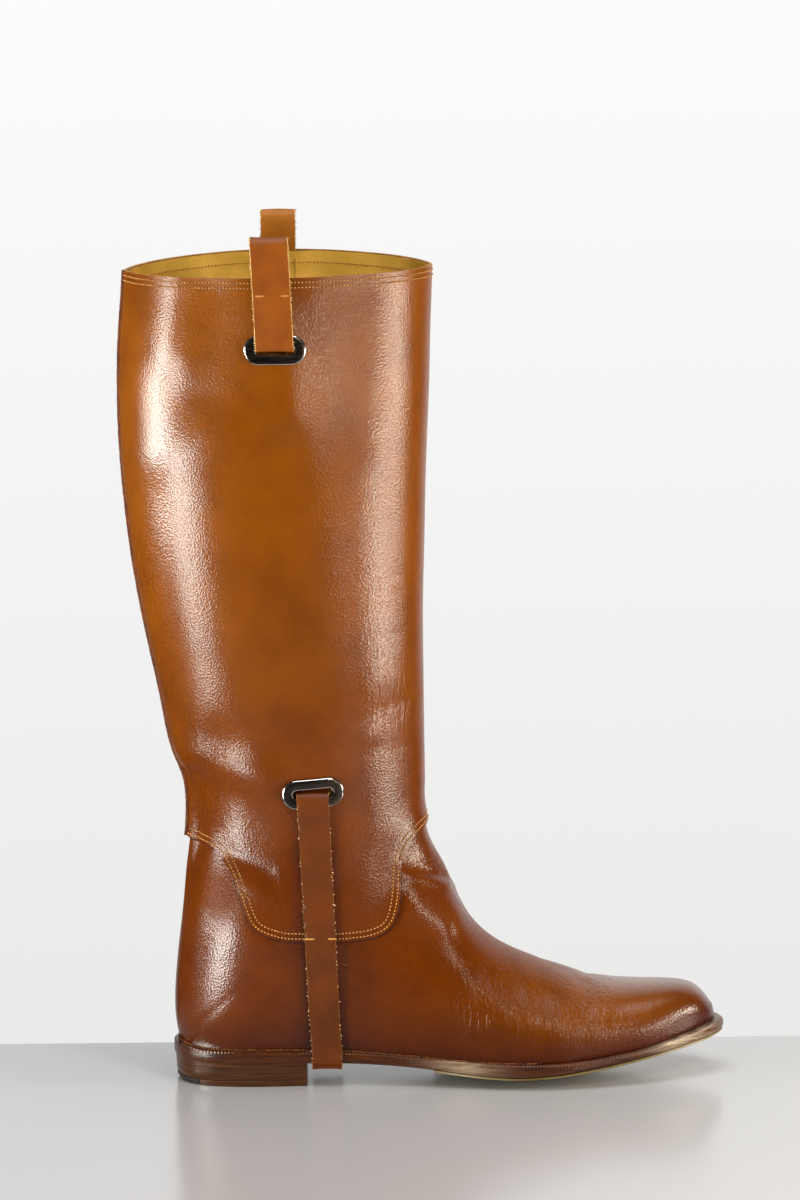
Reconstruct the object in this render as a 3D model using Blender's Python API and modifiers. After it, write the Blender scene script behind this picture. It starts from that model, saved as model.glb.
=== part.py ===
"""A tall leather riding boot for the right foot, built from the sections of its last.

Sizes are in millimetres and become metres when a mesh is made. +X points to the toe, +Z up and
-Y to the outer side of the foot. The origin lies on the floor under the middle of the heel.
"""

import math
from collections import namedtuple

import bmesh
import bpy
import numpy as np

MM = 0.001

# General sizes
LEATHER = 1.6
GAP = 0.3
LAP = 9.0
LASTING_MARGIN = 9.0
OUTER, INNER = -1, 1
SIDE_WORDS = {OUTER: "outer", INNER: "inner"}

# Sections of the last, fanned from the toe to the collar. Each lies in a plane across the boot,
# from a low point (on the sole's edge, then up the back) to a high point (over the vamp, then up
# the shin). side_* are the half widths from the axis, hem_* the share of them left at the sole,
# and widest is how far from low to high the section is widest. A taper of 1 gives an ellipse, less
# is blunter and more is sharper.
Section = namedtuple(
    "Section",
    "low_x low_z high_x high_z axis_y side_outer side_inner hem_outer hem_inner widest low_taper high_taper",
)
SECTIONS = (
    Section(238.0, 26.1, 236.9, 32.0, 7.5, 0.0, 0.0, 0.92, 0.92, 0.45, 0.82, 0.75),
    Section(234.3, 25.2, 233.8, 36.2, 7.4, 12.0, 11.5, 0.92, 0.92, 0.42, 0.82, 0.75),
    Section(227.8, 23.8, 226.8, 42.6, 7.0, 20.0, 18.5, 0.95, 0.95, 0.38, 0.82, 0.75),
    Section(217.0, 21.3, 214.5, 44.8, 6.5, 28.2, 26.2, 0.96, 0.96, 0.34, 0.82, 0.75),
    Section(201.8, 18.2, 197.8, 45.2, 6.0, 36.5, 33.5, 0.97, 0.97, 0.31, 0.82, 0.82),
    Section(184.0, 15.8, 177.0, 47.6, 5.5, 43.0, 38.2, 0.97, 0.97, 0.28, 0.82, 0.91),
    Section(165.0, 14.0, 154.0, 55.2, 5.0, 47.5, 40.8, 0.98, 0.97, 0.26, 0.82, 1.00),
    Section(144.0, 13.3, 130.5, 65.8, 4.0, 48.0, 40.5, 0.98, 0.95, 0.26, 0.82, 1.08),
    Section(120.0, 13.5, 113.6, 82.6, 3.0, 44.5, 36.5, 0.96, 0.90, 0.28, 0.82, 1.13),
    Section(92.0, 15.0, 104.4, 103.4, 2.0, 39.0, 33.0, 0.90, 0.80, 0.32, 0.82, 1.13),
    Section(60.0, 17.0, 97.0, 117.6, 1.0, 35.6, 32.0, 0.81, 0.72, 0.38, 0.82, 1.11),
    Section(28.0, 18.3, 93.3, 129.6, 0.5, 35.2, 33.4, 0.81, 0.79, 0.42, 0.82, 1.06),
    Section(0.0, 18.8, 91.6, 141.0, 0.0, 36.2, 35.4, 0.79, 0.81, 0.45, 0.82, 1.02),
    Section(-20.0, 19.2, 91.7, 150.0, 0.0, 37.0, 36.6, 0.61, 0.62, 0.46, 0.82, 1.00),
    Section(-28.6, 20.1, 91.7, 156.0, 0.0, 37.5, 37.2, 0.31, 0.31, 0.47, 0.86, 1.00),
    Section(-31.0, 20.6, 91.7, 162.0, 0.0, 37.8, 37.6, 0.00, 0.00, 0.47, 0.91, 1.00),
    Section(-32.9, 32.8, 91.6, 171.0, 0.0, 38.0, 37.9, 0.00, 0.00, 0.48, 0.91, 1.00),
    Section(-32.6, 49.5, 91.6, 179.0, 0.0, 38.2, 38.1, 0.00, 0.00, 0.48, 0.91, 1.00),
    Section(-30.6, 69.2, 91.5, 187.0, 0.0, 38.4, 38.3, 0.00, 0.00, 0.49, 0.91, 1.00),
    Section(-28.2, 89.0, 91.5, 195.0, 0.0, 38.6, 38.6, 0.00, 0.00, 0.49, 0.91, 1.00),
    Section(-26.4, 107.0, 91.5, 203.0, 0.0, 38.9, 38.9, 0.00, 0.00, 0.50, 0.91, 1.00),
    Section(-24.3, 123.0, 91.5, 211.0, 0.0, 39.3, 39.3, 0.00, 0.00, 0.50, 0.91, 1.00),
    Section(-23.3, 139.0, 91.5, 219.0, 0.0, 39.8, 39.8, 0.00, 0.00, 0.50, 0.91, 1.00),
    Section(-25.2, 155.0, 91.5, 228.0, 0.0, 40.5, 40.5, 0.00, 0.00, 0.50, 0.91, 1.00),
    Section(-30.8, 170.0, 91.6, 238.0, 0.0, 41.4, 41.4, 0.00, 0.00, 0.50, 0.91, 1.00),
    Section(-35.3, 193.0, 91.9, 251.0, 0.0, 42.6, 42.6, 0.00, 0.00, 0.49, 0.92, 1.01),
    Section(-41.5, 223.0, 92.6, 271.0, 0.0, 44.2, 44.2, 0.00, 0.00, 0.48, 0.94, 1.02),
    Section(-48.0, 259.0, 93.3, 295.0, 0.0, 45.8, 45.8, 0.00, 0.00, 0.48, 0.96, 1.04),
    Section(-52.5, 297.0, 94.3, 321.0, 0.0, 47.0, 47.0, 0.00, 0.00, 0.48, 1.00, 1.06),
    Section(-54.7, 335.0, 95.7, 349.0, 0.0, 48.0, 48.0, 0.00, 0.00, 0.48, 1.04, 1.11),
    Section(-54.3, 371.0, 96.6, 377.0, 0.0, 48.4, 48.4, 0.00, 0.00, 0.48, 1.08, 1.15),
    Section(-52.5, 395.0, 97.5, 398.0, 0.0, 48.6, 48.6, 0.00, 0.00, 0.48, 1.20, 1.19),
    Section(-51.5, 411.3, 98.0, 412.6, 0.0, 48.6, 48.6, 0.00, 0.00, 0.48, 1.28, 1.23),
)
HEEL_BACK = 15.0
COLLAR = len(SECTIONS) - 1.0

# Lower edge of the shaft, a shield shape lapped over the foot, from the back seam to the shin.
HemPoint = namedtuple("HemPoint", "x z")
SHAFT_HEM = (
    HemPoint(-25.7, 122.9),
    HemPoint(-13.0, 119.8),
    HemPoint(-4.6, 109.2),
    HemPoint(0.7, 97.0),
    HemPoint(7.0, 83.0),
    HemPoint(19.5, 77.0),
    HemPoint(32.9, 75.6),
    HemPoint(51.3, 75.2),
    HemPoint(68.0, 77.0),
    HemPoint(76.6, 83.0),
    HemPoint(79.8, 95.0),
    HemPoint(80.4, 110.0),
    HemPoint(83.6, 121.6),
    HemPoint(93.2, 129.6),
)
# Stations by which the collar is lower at the seam and the shin than at the sides
COLLAR_DIP = 0.13

# Sole: how far its edge stands out from the upper, and the height of its underside.
Ledge = namedtuple("Ledge", "x width")
LEDGES = (
    Ledge(-36.0, 2.6),
    Ledge(30.0, 2.2),
    Ledge(60.0, 2.0),
    Ledge(95.0, 2.6),
    Ledge(140.0, 3.4),
    Ledge(200.0, 3.8),
    Ledge(239.0, 4.4),
)
Underside = namedtuple("Underside", "x edge middle")
UNDERSIDES = (
    Underside(-36.0, 12.6, 12.6),
    Underside(33.0, 11.6, 11.6),
    Underside(55.0, 11.2, 11.0),
    Underside(79.0, 10.2, 9.4),
    Underside(97.0, 9.0, 5.6),
    Underside(110.0, 7.8, 2.6),
    Underside(120.0, 6.9, 1.3),
    Underside(137.0, 6.2, 1.3),
    Underside(152.0, 6.9, 1.3),
    Underside(165.0, 8.2, 2.9),
    Underside(187.0, 11.2, 8.2),
    Underside(200.0, 13.4, 11.4),
    Underside(216.0, 16.2, 15.0),
    Underside(241.0, 20.8, 20.4),
)
EDGE_ROUNDING = 1.1
# Slope of the sole beyond the tip of the upper
TOE_RISE = -0.1
TREAD_SHARE = 0.42
HALF_SOLE_START = 97.0
HALF_SOLE_THICKNESS = 0.9
HALF_SOLE_GAP = 0.4
HEEL_BREAST = 33.0
HEEL_STEP = 0.6
HEEL_TAPER = 0.9
TOP_LIFT_HEIGHT = 3.0
RUBBER_TIP_END = -20.5
RUBBER_TIP_BEVEL = 1.1
RUBBER_TIP_BEVEL_REACH = 3.2
INSOLE_THICKNESS = 2.4
INSOLE_CLEARANCE = 1.8

# Metal plates with a slot, one above the other on each side of the shaft.
Eyelet = namedtuple("Eyelet", "x z tilt_degrees")
UPPER_EYELETS = {OUTER: Eyelet(21.4, 376.6, 0.0), INNER: Eyelet(22.8, 376.6, 0.0)}
LOWER_EYELETS = {OUTER: Eyelet(37.4, 151.4, 4.0), INNER: Eyelet(37.4, 151.4, 4.0)}
EYELET_LENGTH = 31.0
EYELET_HEIGHT = 14.8
EYELET_THICKNESS = 1.8
EYELET_CHAMFER = 0.7
EYELET_SEAT = 0.65
SLOT_LENGTH = 20.4
SLOT_HEIGHT = 4.6
SLOT_CUT_DEPTH = 80.0

# Straps. A path point gives the height and the distance out from the shaft's outer face.
STRAP_THICKNESS = 1.4
PULL_LOOP_WIDTHS = {OUTER: 18.9, INNER: 17.3}
PULL_LOOP_LEANS = {OUTER: 0.044, INNER: 0.0}
STIRRUP_TOP_WIDTH = 16.4
STIRRUP_LOW_WIDTH = 14.8
STIRRUP_LOW_X = 43.2
PathPoint = namedtuple("PathPoint", "rise out")
PULL_LOOP_PATH = (
    PathPoint(0.0, -0.8),
    PathPoint(0.2, 1.6),
    PathPoint(1.8, 3.4),
    PathPoint(5.5, 4.0),
    PathPoint(9.5, 3.2),
    PathPoint(15.0, 1.8),
    PathPoint(22.0, 1.2),
    PathPoint(29.0, 1.2),
    PathPoint(37.0, 1.7),
    PathPoint(46.5, 2.3),
    PathPoint(52.4, 1.9),
    PathPoint(55.0, -0.8),
    PathPoint(52.4, -3.5),
    PathPoint(46.5, -4.0),
    PathPoint(37.0, -3.5),
    PathPoint(29.0, -3.4),
    PathPoint(15.0, -3.4),
    PathPoint(6.0, -3.5),
    PathPoint(1.6, -3.1),
)
STIRRUP_PATH = (
    PathPoint(13.0, -3.8),
    PathPoint(6.0, -3.8),
    PathPoint(1.4, -3.1),
    PathPoint(0.0, -0.8),
    PathPoint(-0.6, 1.8),
    PathPoint(-2.6, 3.5),
    PathPoint(-6.0, 4.1),
    PathPoint(-10.5, 3.3),
    PathPoint(-17.0, 2.1),
    PathPoint(-30.0, 1.7),
    PathPoint(-45.0, 1.7),
    PathPoint(-60.0, 1.7),
    PathPoint(-74.0, 1.6),
    PathPoint(-90.0, 1.3),
    PathPoint(-105.0, 1.0),
    PathPoint(-118.0, 0.5),
)
STIRRUP_STAND_OFF = 1.3
# The strap's turn under the sole, as steps in from its side and up from its underside
TurnPoint = namedtuple("TurnPoint", "inward rise")
STIRRUP_TURN = (TurnPoint(0.0, 3.6), TurnPoint(0.55, 0.55), TurnPoint(3.6, 0.0))

# Raised seam down the back of the shaft
SEAM_WIDTH = 2.4
SEAM_HEIGHT = 0.9
SEAM_TOP_SHARE = 0.7

# Mesh density
COLUMN_BREAKS = (-math.pi / 2, -0.4, 0.45, math.pi / 2)
COLUMN_COUNTS = (7, 8, 6)
FOREFOOT_ROWS = 12
REARFOOT_ROWS = 14
SHAFT_ROWS = 17
SHAFT_ROW_SPREAD = 1.25
SOLE_ROWS = 26
SOLE_CROWDING = 0.3
HEEL_ROWS = 8
SEAT_SAMPLES = 300
STADIUM_STEPS = 6
PATH_STEPS = 2
SHARP_DEGREES = 35.0
WELD = 0.002
HALVINGS = 50
STATION_STEP = 0.01


def natural_cubic(values):
    """Second derivatives of the smooth curve through values at 0, 1, 2 and so on, one column each."""
    count = len(values)
    matrix = np.eye(count)
    right = np.zeros_like(values)
    for i in range(1, count - 1):
        matrix[i, i - 1 : i + 2] = (1.0, 4.0, 1.0)
        right[i] = 6.0 * (values[i - 1] - 2.0 * values[i] + values[i + 1])
    return np.linalg.solve(matrix, right)


def mirrored_start(table):
    """The table with its second row mirrored before the first, so that the toe's tip is round."""
    ahead = table[1].copy()
    for name in ("side_outer", "side_inner"):
        column = Section._fields.index(name)
        ahead[column] = -ahead[column]
    return np.vstack([ahead, table])


SECTION_VALUES = mirrored_start(np.array(SECTIONS))
SECTION_BENDS = natural_cubic(SECTION_VALUES)


def section_at(station):
    """The section at a station, where 0 is the toe's tip and COLLAR the top, as a named row of arrays."""
    place = np.clip(np.asarray(station, float), 0.0, COLLAR) + 1.0
    below = np.minimum(place.astype(int), len(SECTION_VALUES) - 2)
    after = (place - below)[..., None]
    before = 1.0 - after
    row = before * SECTION_VALUES[below] + after * SECTION_VALUES[below + 1]
    row += (before**3 - before) * SECTION_BENDS[below] / 6.0
    row += (after**3 - after) * SECTION_BENDS[below + 1] / 6.0
    section = Section(*np.moveaxis(row, -1, 0))
    open_below = place < HEEL_BACK + 1.0
    return section._replace(
        hem_outer=np.where(open_below, section.hem_outer, 0.0),
        hem_inner=np.where(open_below, section.hem_inner, 0.0),
    )


def arc_of(section, side):
    """Half width, lower axis and starting angle of a section's outline on one side."""
    width = section.side_outer if side == OUTER else section.side_inner
    hem = section.hem_outer if side == OUTER else section.hem_inner
    start = -np.arccos(np.clip(hem, 0.0, 0.999) ** (1.0 / section.low_taper))
    return width, section.widest / np.sin(-start), start


def last_point(station, angle, side):
    """A point of the foot's outer surface. The angle is -90 degrees at the back and 90 at the front."""
    station, angle = np.broadcast_arrays(np.asarray(station, float), np.asarray(angle, float))
    section = section_at(station)
    width, low_axis, start = arc_of(section, side)
    angle = np.clip(angle, start, math.pi / 2)
    taper = np.where(angle < 0.0, section.low_taper, section.high_taper)
    axis = np.where(angle < 0.0, low_axis, 1.0 - section.widest)
    share = section.widest + axis * np.sin(angle)
    half = width * np.maximum(np.cos(angle), 0.0) ** taper
    x = section.low_x + share * (section.high_x - section.low_x)
    z = section.low_z + share * (section.high_z - section.low_z)
    return np.stack([x, section.axis_y + side * half, z], axis=-1)


def last_normal(station, angle, side):
    """The outward direction of last_point."""
    step = STATION_STEP
    station, angle = np.broadcast_arrays(np.asarray(station, float), np.asarray(angle, float))
    inside = np.clip(station, step, COLLAR - step)
    lowest = np.maximum(low_angle(inside - step, side), low_angle(inside + step, side))
    between = np.clip(angle, lowest + step, math.pi / 2 - step)
    along = last_point(inside + step, between, side) - last_point(inside - step, between, side)
    across = last_point(inside, between + step, side) - last_point(inside, between - step, side)
    normal = side * np.cross(along, across)
    on_middle = (angle >= math.pi / 2) | ((angle <= -math.pi / 2) & (station >= HEEL_BACK))
    normal[..., 1] = np.where(on_middle, 0.0, normal[..., 1])
    return normal / np.linalg.norm(normal, axis=-1, keepdims=True)


def low_angle(station, side):
    """The angle at which a section starts, at the sole or, above the heel, at the back."""
    return arc_of(section_at(station), side)[2]


def locate(x, z, side):
    """(station, angle) of the surface point seen at x, z from the side."""
    low, high = 0.0, COLLAR
    for _ in range(HALVINGS):
        station = (low + high) / 2.0
        section = section_at(station)
        run = (section.high_x - section.low_x, section.high_z - section.low_z)
        ahead = run[0] * (z - section.low_z) - run[1] * (x - section.low_x)
        if ahead > 0.0:
            low = station
        else:
            high = station
    share = (run[0] * (x - section.low_x) + run[1] * (z - section.low_z)) / (run[0] ** 2 + run[1] ** 2)
    offset = share - section.widest
    axis = arc_of(section, side)[1] if offset < 0.0 else 1.0 - section.widest
    return station, math.asin(max(-1.0, min(1.0, offset / axis)))


def side_point(x, z, side, out=0.0):
    """The surface point seen at x, z from one side, moved out along the surface's normal."""
    station, around = locate(x, z, side)
    return last_point(station, around, side) + out * last_normal(station, around, side)


def smooth_between(x, xs, ys):
    """A curve through the points that never passes beyond their heights."""
    xs, ys = np.asarray(xs, float), np.asarray(ys, float)
    slopes = np.diff(ys) / np.diff(xs)
    tangents = np.zeros_like(ys)
    same_way = slopes[:-1] * slopes[1:] > 0.0
    means = 2.0 * slopes[:-1] * slopes[1:] / np.where(same_way, slopes[:-1] + slopes[1:], 1.0)
    tangents[1:-1] = np.where(same_way, means, 0.0)
    tangents[0], tangents[-1] = slopes[0], slopes[-1]
    i = np.clip(np.searchsorted(xs, x) - 1, 0, len(xs) - 2)
    width = xs[i + 1] - xs[i]
    t = np.clip((x - xs[i]) / width, 0.0, 1.0)
    start = (1 + 2 * t) * (1 - t) ** 2 * ys[i] + t * (1 - t) ** 2 * width * tangents[i]
    end = t**2 * (3 - 2 * t) * ys[i + 1] + t**2 * (t - 1) * width * tangents[i + 1]
    return start + end


def through(points, steps, closed=False):
    """Points on a smooth path through the given ones, steps of them for each stretch."""
    points = np.asarray(points, float)
    if closed:
        padded = np.vstack([points[-1:], points, points[:2]])
    else:
        padded = np.vstack([2 * points[0] - points[1], points, 2 * points[-1] - points[-2]])
    path = []
    for a, b, c, d in zip(padded, padded[1:], padded[2:], padded[3:]):
        for t in np.arange(steps) / steps:
            squared = 2 * a - 5 * b + 4 * c - d
            cubed = 3 * b - a - 3 * c + d
            path.append(b + 0.5 * ((c - a) * t + squared * t**2 + cubed * t**3))
    if not closed:
        path.append(points[-1])
    return np.array(path)


def material(name, colour, roughness, metallic=0.0):
    made = bpy.data.materials.new(name)
    made.use_nodes = True
    shader = made.node_tree.nodes["Principled BSDF"]
    shader.inputs["Base Color"].default_value = (*colour, 1.0)
    shader.inputs["Roughness"].default_value = roughness
    shader.inputs["Metallic"].default_value = metallic
    return made


def add_object(name, mesh_builder, surface, collection):
    """Turns a bmesh in millimetres into a named object."""
    bmesh.ops.scale(mesh_builder, vec=(MM, MM, MM), verts=mesh_builder.verts)
    mesh = bpy.data.meshes.new(name)
    mesh_builder.to_mesh(mesh)
    mesh_builder.free()
    made = bpy.data.objects.new(name, mesh)
    collection.objects.link(made)
    if surface:
        mesh.materials.append(surface)
    for polygon in mesh.polygons:
        polygon.use_smooth = True
    mesh.set_sharp_from_angle(angle=math.radians(SHARP_DEGREES))
    return made


def add_grid(builder, points, close_columns=False):
    """Quads between the rows and columns of an array of points."""
    rows, columns = points.shape[:2]
    made = [[builder.verts.new(point) for point in row] for row in points]
    for i in range(rows - 1):
        for j in range(columns if close_columns else columns - 1):
            after = (j + 1) % columns
            builder.faces.new((made[i][j], made[i][after], made[i + 1][after], made[i + 1][j]))
    return made


def weld(builder):
    """Joins points that fall together, as at the toe's tip, and drops the faces this leaves empty."""
    bmesh.ops.remove_doubles(builder, verts=builder.verts, dist=WELD)
    bmesh.ops.dissolve_degenerate(builder, edges=builder.edges, dist=WELD / 2.0)


def solidify(made, thickness, offset):
    wall = made.modifiers.new("wall", "SOLIDIFY")
    wall.thickness = thickness * MM
    wall.offset = offset
    wall.use_even_offset = True
    wall.use_quality_normals = True


HEM_PLACES = [locate(row.x, row.z, OUTER) for row in SHAFT_HEM]
HEM_ANGLES = [-math.pi / 2, *(angle for _, angle in HEM_PLACES[1:-1]), math.pi / 2]
HEM_STATIONS = [station for station, _ in HEM_PLACES]


def hem_station(angle):
    """Where the shaft's lower edge lies at an angle."""
    return smooth_between(angle, HEM_ANGLES, HEM_STATIONS)


def lapped_station(angle):
    """Where the foot's own upper edge lies, under the shaft."""
    hem = hem_station(angle)
    rise = last_point(hem + STATION_STEP, angle, OUTER) - last_point(hem, angle, OUTER)
    return hem + STATION_STEP * LAP / np.linalg.norm(rise, axis=-1)


def foot_angle(station, angle, side):
    """A column's angle on the foot, where the angles below the widest line end at the sole."""
    start = low_angle(station, side)
    return angle if angle >= 0.0 else start * angle / (-math.pi / 2)


def foot_top(angle, side):
    """The station where a column of the foot's mesh meets the foot's upper edge."""
    low, high = min(HEM_STATIONS), COLLAR
    for _ in range(HALVINGS):
        station = (low + high) / 2.0
        if station < lapped_station(foot_angle(station, angle, side)):
            low = station
        else:
            high = station
    return station


def column_angles():
    """Angles of the mesh columns on one side, back to front, closest along the shaft's lower edge."""
    angles = []
    for first, last, count in zip(COLUMN_BREAKS, COLUMN_BREAKS[1:], COLUMN_COUNTS):
        angles += list(np.linspace(first, last, count, endpoint=False))
    return [*angles, COLUMN_BREAKS[-1]]


COLUMNS = [(OUTER, angle) for angle in column_angles()]
COLUMNS += [(INNER, angle) for angle in column_angles()[-2::-1]]


def foot_places():
    """Rows of (station, angle, side) over the foot: straight across the forefoot, then bending until
    the last one runs along the lapped edge. One row passes through the heel's back at the sole."""
    tops = [foot_top(angle, side) for side, angle in COLUMNS]
    bend_start = 2.0 * HEEL_BACK - tops[0]
    bends = [0.0] * FOREFOOT_ROWS + list(np.linspace(0.0, 1.0, REARFOOT_ROWS + 1)[1:])
    starts = list(np.linspace(0.0, bend_start, FOREFOOT_ROWS)) + [bend_start] * REARFOOT_ROWS
    rows = []
    for start, bend in zip(starts, bends):
        row = []
        for (side, angle), top in zip(COLUMNS, tops):
            station = start + bend * (top - start)
            row.append((station, float(foot_angle(station, angle, side)), side))
        rows.append(row)
    return rows


def shaft_places():
    """Rows of (station, angle, side) from the shaft's lower edge to the collar."""
    rows = []
    for rise in np.linspace(0.0, 1.0, SHAFT_ROWS + 1) ** SHAFT_ROW_SPREAD:
        row = []
        for side, angle in COLUMNS:
            hem = float(hem_station(angle))
            top = COLLAR - COLLAR_DIP * math.sin(angle) ** 2
            row.append((hem + rise * (top - hem), angle, side))
        rows.append(row)
    return rows


def surface_grid(rows, out):
    """Points of the last for rows of (station, angle, side), moved out along the normals."""
    return np.array([[last_point(*place) + out * last_normal(*place) for place in row] for row in rows])


def feather(station, side, out=0.0):
    """A point of the line where the upper meets the sole, moved out level with the floor."""
    step = STATION_STEP
    edge = last_point(station, -math.pi / 2, side)
    ahead = last_point(min(station + step, HEEL_BACK), -math.pi / 2, side)
    behind = last_point(max(station - step, 0.0), -math.pi / 2, side)
    along = ahead - behind
    if station <= step:
        outward = np.array([1.0, 0.0, 0.0])
    elif station >= HEEL_BACK - step:
        outward = np.array([-1.0, 0.0, 0.0])
    else:
        outward = side * np.array([along[1], -along[0], 0.0])
        outward /= np.linalg.norm(outward)
    return edge + out * outward


def build_upper(surface, collection):
    builder = bmesh.new()
    rows = foot_places()
    add_grid(builder, surface_grid(rows, 0.0))
    sole_rows = [row[0][0] for row in rows if row[0][0] < HEEL_BACK + STATION_STEP]
    for side in (OUTER, INNER):
        edge = [feather(station, side) for station in sole_rows]
        turned_in = [sole_point(station, side, -LASTING_MARGIN, seat_height) for station in sole_rows]
        strip = [turned_in, edge] if side == OUTER else [edge, turned_in]
        add_grid(builder, np.swapaxes(np.array(strip), 0, 1))
    weld(builder)
    made = add_object("upper", builder, surface, collection)
    solidify(made, LEATHER, -1.0)
    return made


def build_shaft(surface, collection, cutters):
    builder = bmesh.new()
    add_grid(builder, surface_grid(shaft_places(), GAP + LEATHER))
    weld(builder)
    made = add_object("shaft", builder, surface, collection)
    solidify(made, LEATHER, -1.0)
    for word, eyelets in (("upper", UPPER_EYELETS), ("lower", LOWER_EYELETS)):
        for side, eyelet in eyelets.items():
            cutter = build_slot_cutter(f"{word}_slot_{SIDE_WORDS[side]}", eyelet, side, cutters)
            cut = made.modifiers.new(cutter.name, "BOOLEAN")
            cut.operation = "DIFFERENCE"
            cut.solver = "EXACT"
            cut.object = cutter
    return made


def build_slot_cutter(name, eyelet, side, cutters):
    """A bar with the slot's outline, from the boot's middle out through the wall."""
    builder = bmesh.new()
    outline = stadium(SLOT_LENGTH, SLOT_HEIGHT)
    ends = [[turned(eyelet, a, b, depth) for a, b in outline] for depth in (0.0, side * SLOT_CUT_DEPTH)]
    grid = add_grid(builder, np.array(ends), close_columns=True)
    builder.faces.new(grid[0])
    builder.faces.new(grid[1])
    bmesh.ops.recalc_face_normals(builder, faces=builder.faces)
    cutter = add_object(name, builder, None, cutters)
    cutter.hide_render = True
    cutter.display_type = "WIRE"
    return cutter


def stadium(length, height):
    """The outline of a plate with half round ends, from the right end upwards."""
    radius = height / 2.0
    straight = length / 2.0 - radius
    points = []
    for centre, first in ((straight, -90.0), (-straight, 90.0)):
        for i in range(STADIUM_STEPS + 1):
            angle = math.radians(first + 180.0 * i / STADIUM_STEPS)
            points.append((centre + radius * math.cos(angle), radius * math.sin(angle)))
    return points


def turned(eyelet, a, b, depth):
    """A point of an eyelet's own plane in the boot's frame, at a given y."""
    tilt = math.radians(eyelet.tilt_degrees)
    x = eyelet.x + a * math.cos(tilt) - b * math.sin(tilt)
    z = eyelet.z + a * math.sin(tilt) + b * math.cos(tilt)
    return x, depth, z


def build_eyelet(name, eyelet, side, surface, collection):
    """A slotted plate that follows the shaft, with chamfered edges."""
    builder = bmesh.new()
    foot_height = GAP + LEATHER + EYELET_SEAT
    top = foot_height + EYELET_THICKNESS
    outside = (EYELET_LENGTH, EYELET_HEIGHT)
    rings = (
        (SLOT_LENGTH, SLOT_HEIGHT, foot_height),
        (SLOT_LENGTH, SLOT_HEIGHT, top - EYELET_CHAMFER / 2),
        (SLOT_LENGTH + EYELET_CHAMFER, SLOT_HEIGHT + EYELET_CHAMFER, top),
        (outside[0] - 2 * EYELET_CHAMFER, outside[1] - 2 * EYELET_CHAMFER, top),
        (*outside, top - EYELET_CHAMFER),
        (*outside, foot_height),
    )
    centre = locate(eyelet.x, eyelet.z, side)
    normal = last_normal(*centre, side)
    grid = []
    for length, height, out in rings:
        ring = []
        for a, b in stadium(length, height):
            x, _, z = turned(eyelet, a, b, 0.0)
            ring.append(side_point(x, z, side) + out * normal)
        grid.append(ring)
    grid.append(grid[0])
    add_grid(builder, np.array(grid), close_columns=True)
    weld(builder)
    bmesh.ops.recalc_face_normals(builder, faces=builder.faces)
    return add_object(name, builder, surface, collection)


def add_strip(builder, path, width_at, closed=False):
    """A band along a path of points, its width lying along X, to be given its thickness later."""
    rows = []
    for i, point in enumerate(path):
        half = np.array([width_at(i / (len(path) - 1)) / 2.0, 0.0, 0.0])
        rows.append([point - half, point, point + half])
    if closed:
        rows.append(rows[0])
    add_grid(builder, np.array(rows))
    weld(builder)


def build_pull_loop(name, side, surface, collection):
    """A closed band through the upper eyelet's slot and over the collar."""
    eyelet = UPPER_EYELETS[side]
    path = []
    for rise, out in PULL_LOOP_PATH:
        x = eyelet.x - PULL_LOOP_LEANS[side] * rise
        wall = side_point(x, min(eyelet.z + rise, SECTIONS[-1].low_z), side, GAP + LEATHER)
        path.append(np.array([x, wall[1] + side * out, eyelet.z + rise]))
    builder = bmesh.new()
    add_strip(builder, through(path, PATH_STEPS, closed=True), lambda share: PULL_LOOP_WIDTHS[side], closed=True)
    made = add_object(name, builder, surface, collection)
    solidify(made, STRAP_THICKNESS, 0.0)
    return made


def stirrup_side(side):
    """The strap's path on one side, from behind the lower eyelet down and round the sole's edge."""
    eyelet = LOWER_EYELETS[side]
    sole_low = underside_middle(STIRRUP_LOW_X + STIRRUP_LOW_WIDTH / 2.0)
    path = []
    for rise, out in STIRRUP_PATH:
        z = eyelet.z + rise
        share = -rise / (eyelet.z - sole_low)
        x = eyelet.x + share * (STIRRUP_LOW_X - eyelet.x)
        wall = side_point(x, z, side, GAP + LEATHER)
        path.append(np.array([x, wall[1] + side * out, z]))
    half = STIRRUP_LOW_WIDTH / 2.0
    edges = [sole_edge(STIRRUP_LOW_X + across, side) for across in (-half, 0.0, half)]
    edge = max(edges, key=lambda point: abs(point[1]))
    beside = edge[1] + side * STIRRUP_STAND_OFF
    under = sole_low - GAP - STRAP_THICKNESS / 2.0
    path.append(np.array([STIRRUP_LOW_X, beside, edge[2] + GAP]))
    for inward, rise in STIRRUP_TURN:
        path.append(np.array([STIRRUP_LOW_X, beside - side * inward, under + rise]))
    return path


def stirrup_width(share):
    """The strap's width, from one end at 0 to the other at 1."""
    return STIRRUP_LOW_WIDTH + (STIRRUP_TOP_WIDTH - STIRRUP_LOW_WIDTH) * abs(2.0 * share - 1.0)


def build_stirrup(surface, collection):
    """One strap from eyelet to eyelet under the waist of the sole."""
    path = stirrup_side(OUTER) + stirrup_side(INNER)[::-1]
    builder = bmesh.new()
    add_strip(builder, through(path, PATH_STEPS), stirrup_width)
    made = add_object("stirrup_strap", builder, surface, collection)
    solidify(made, STRAP_THICKNESS, 0.0)
    return made


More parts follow.
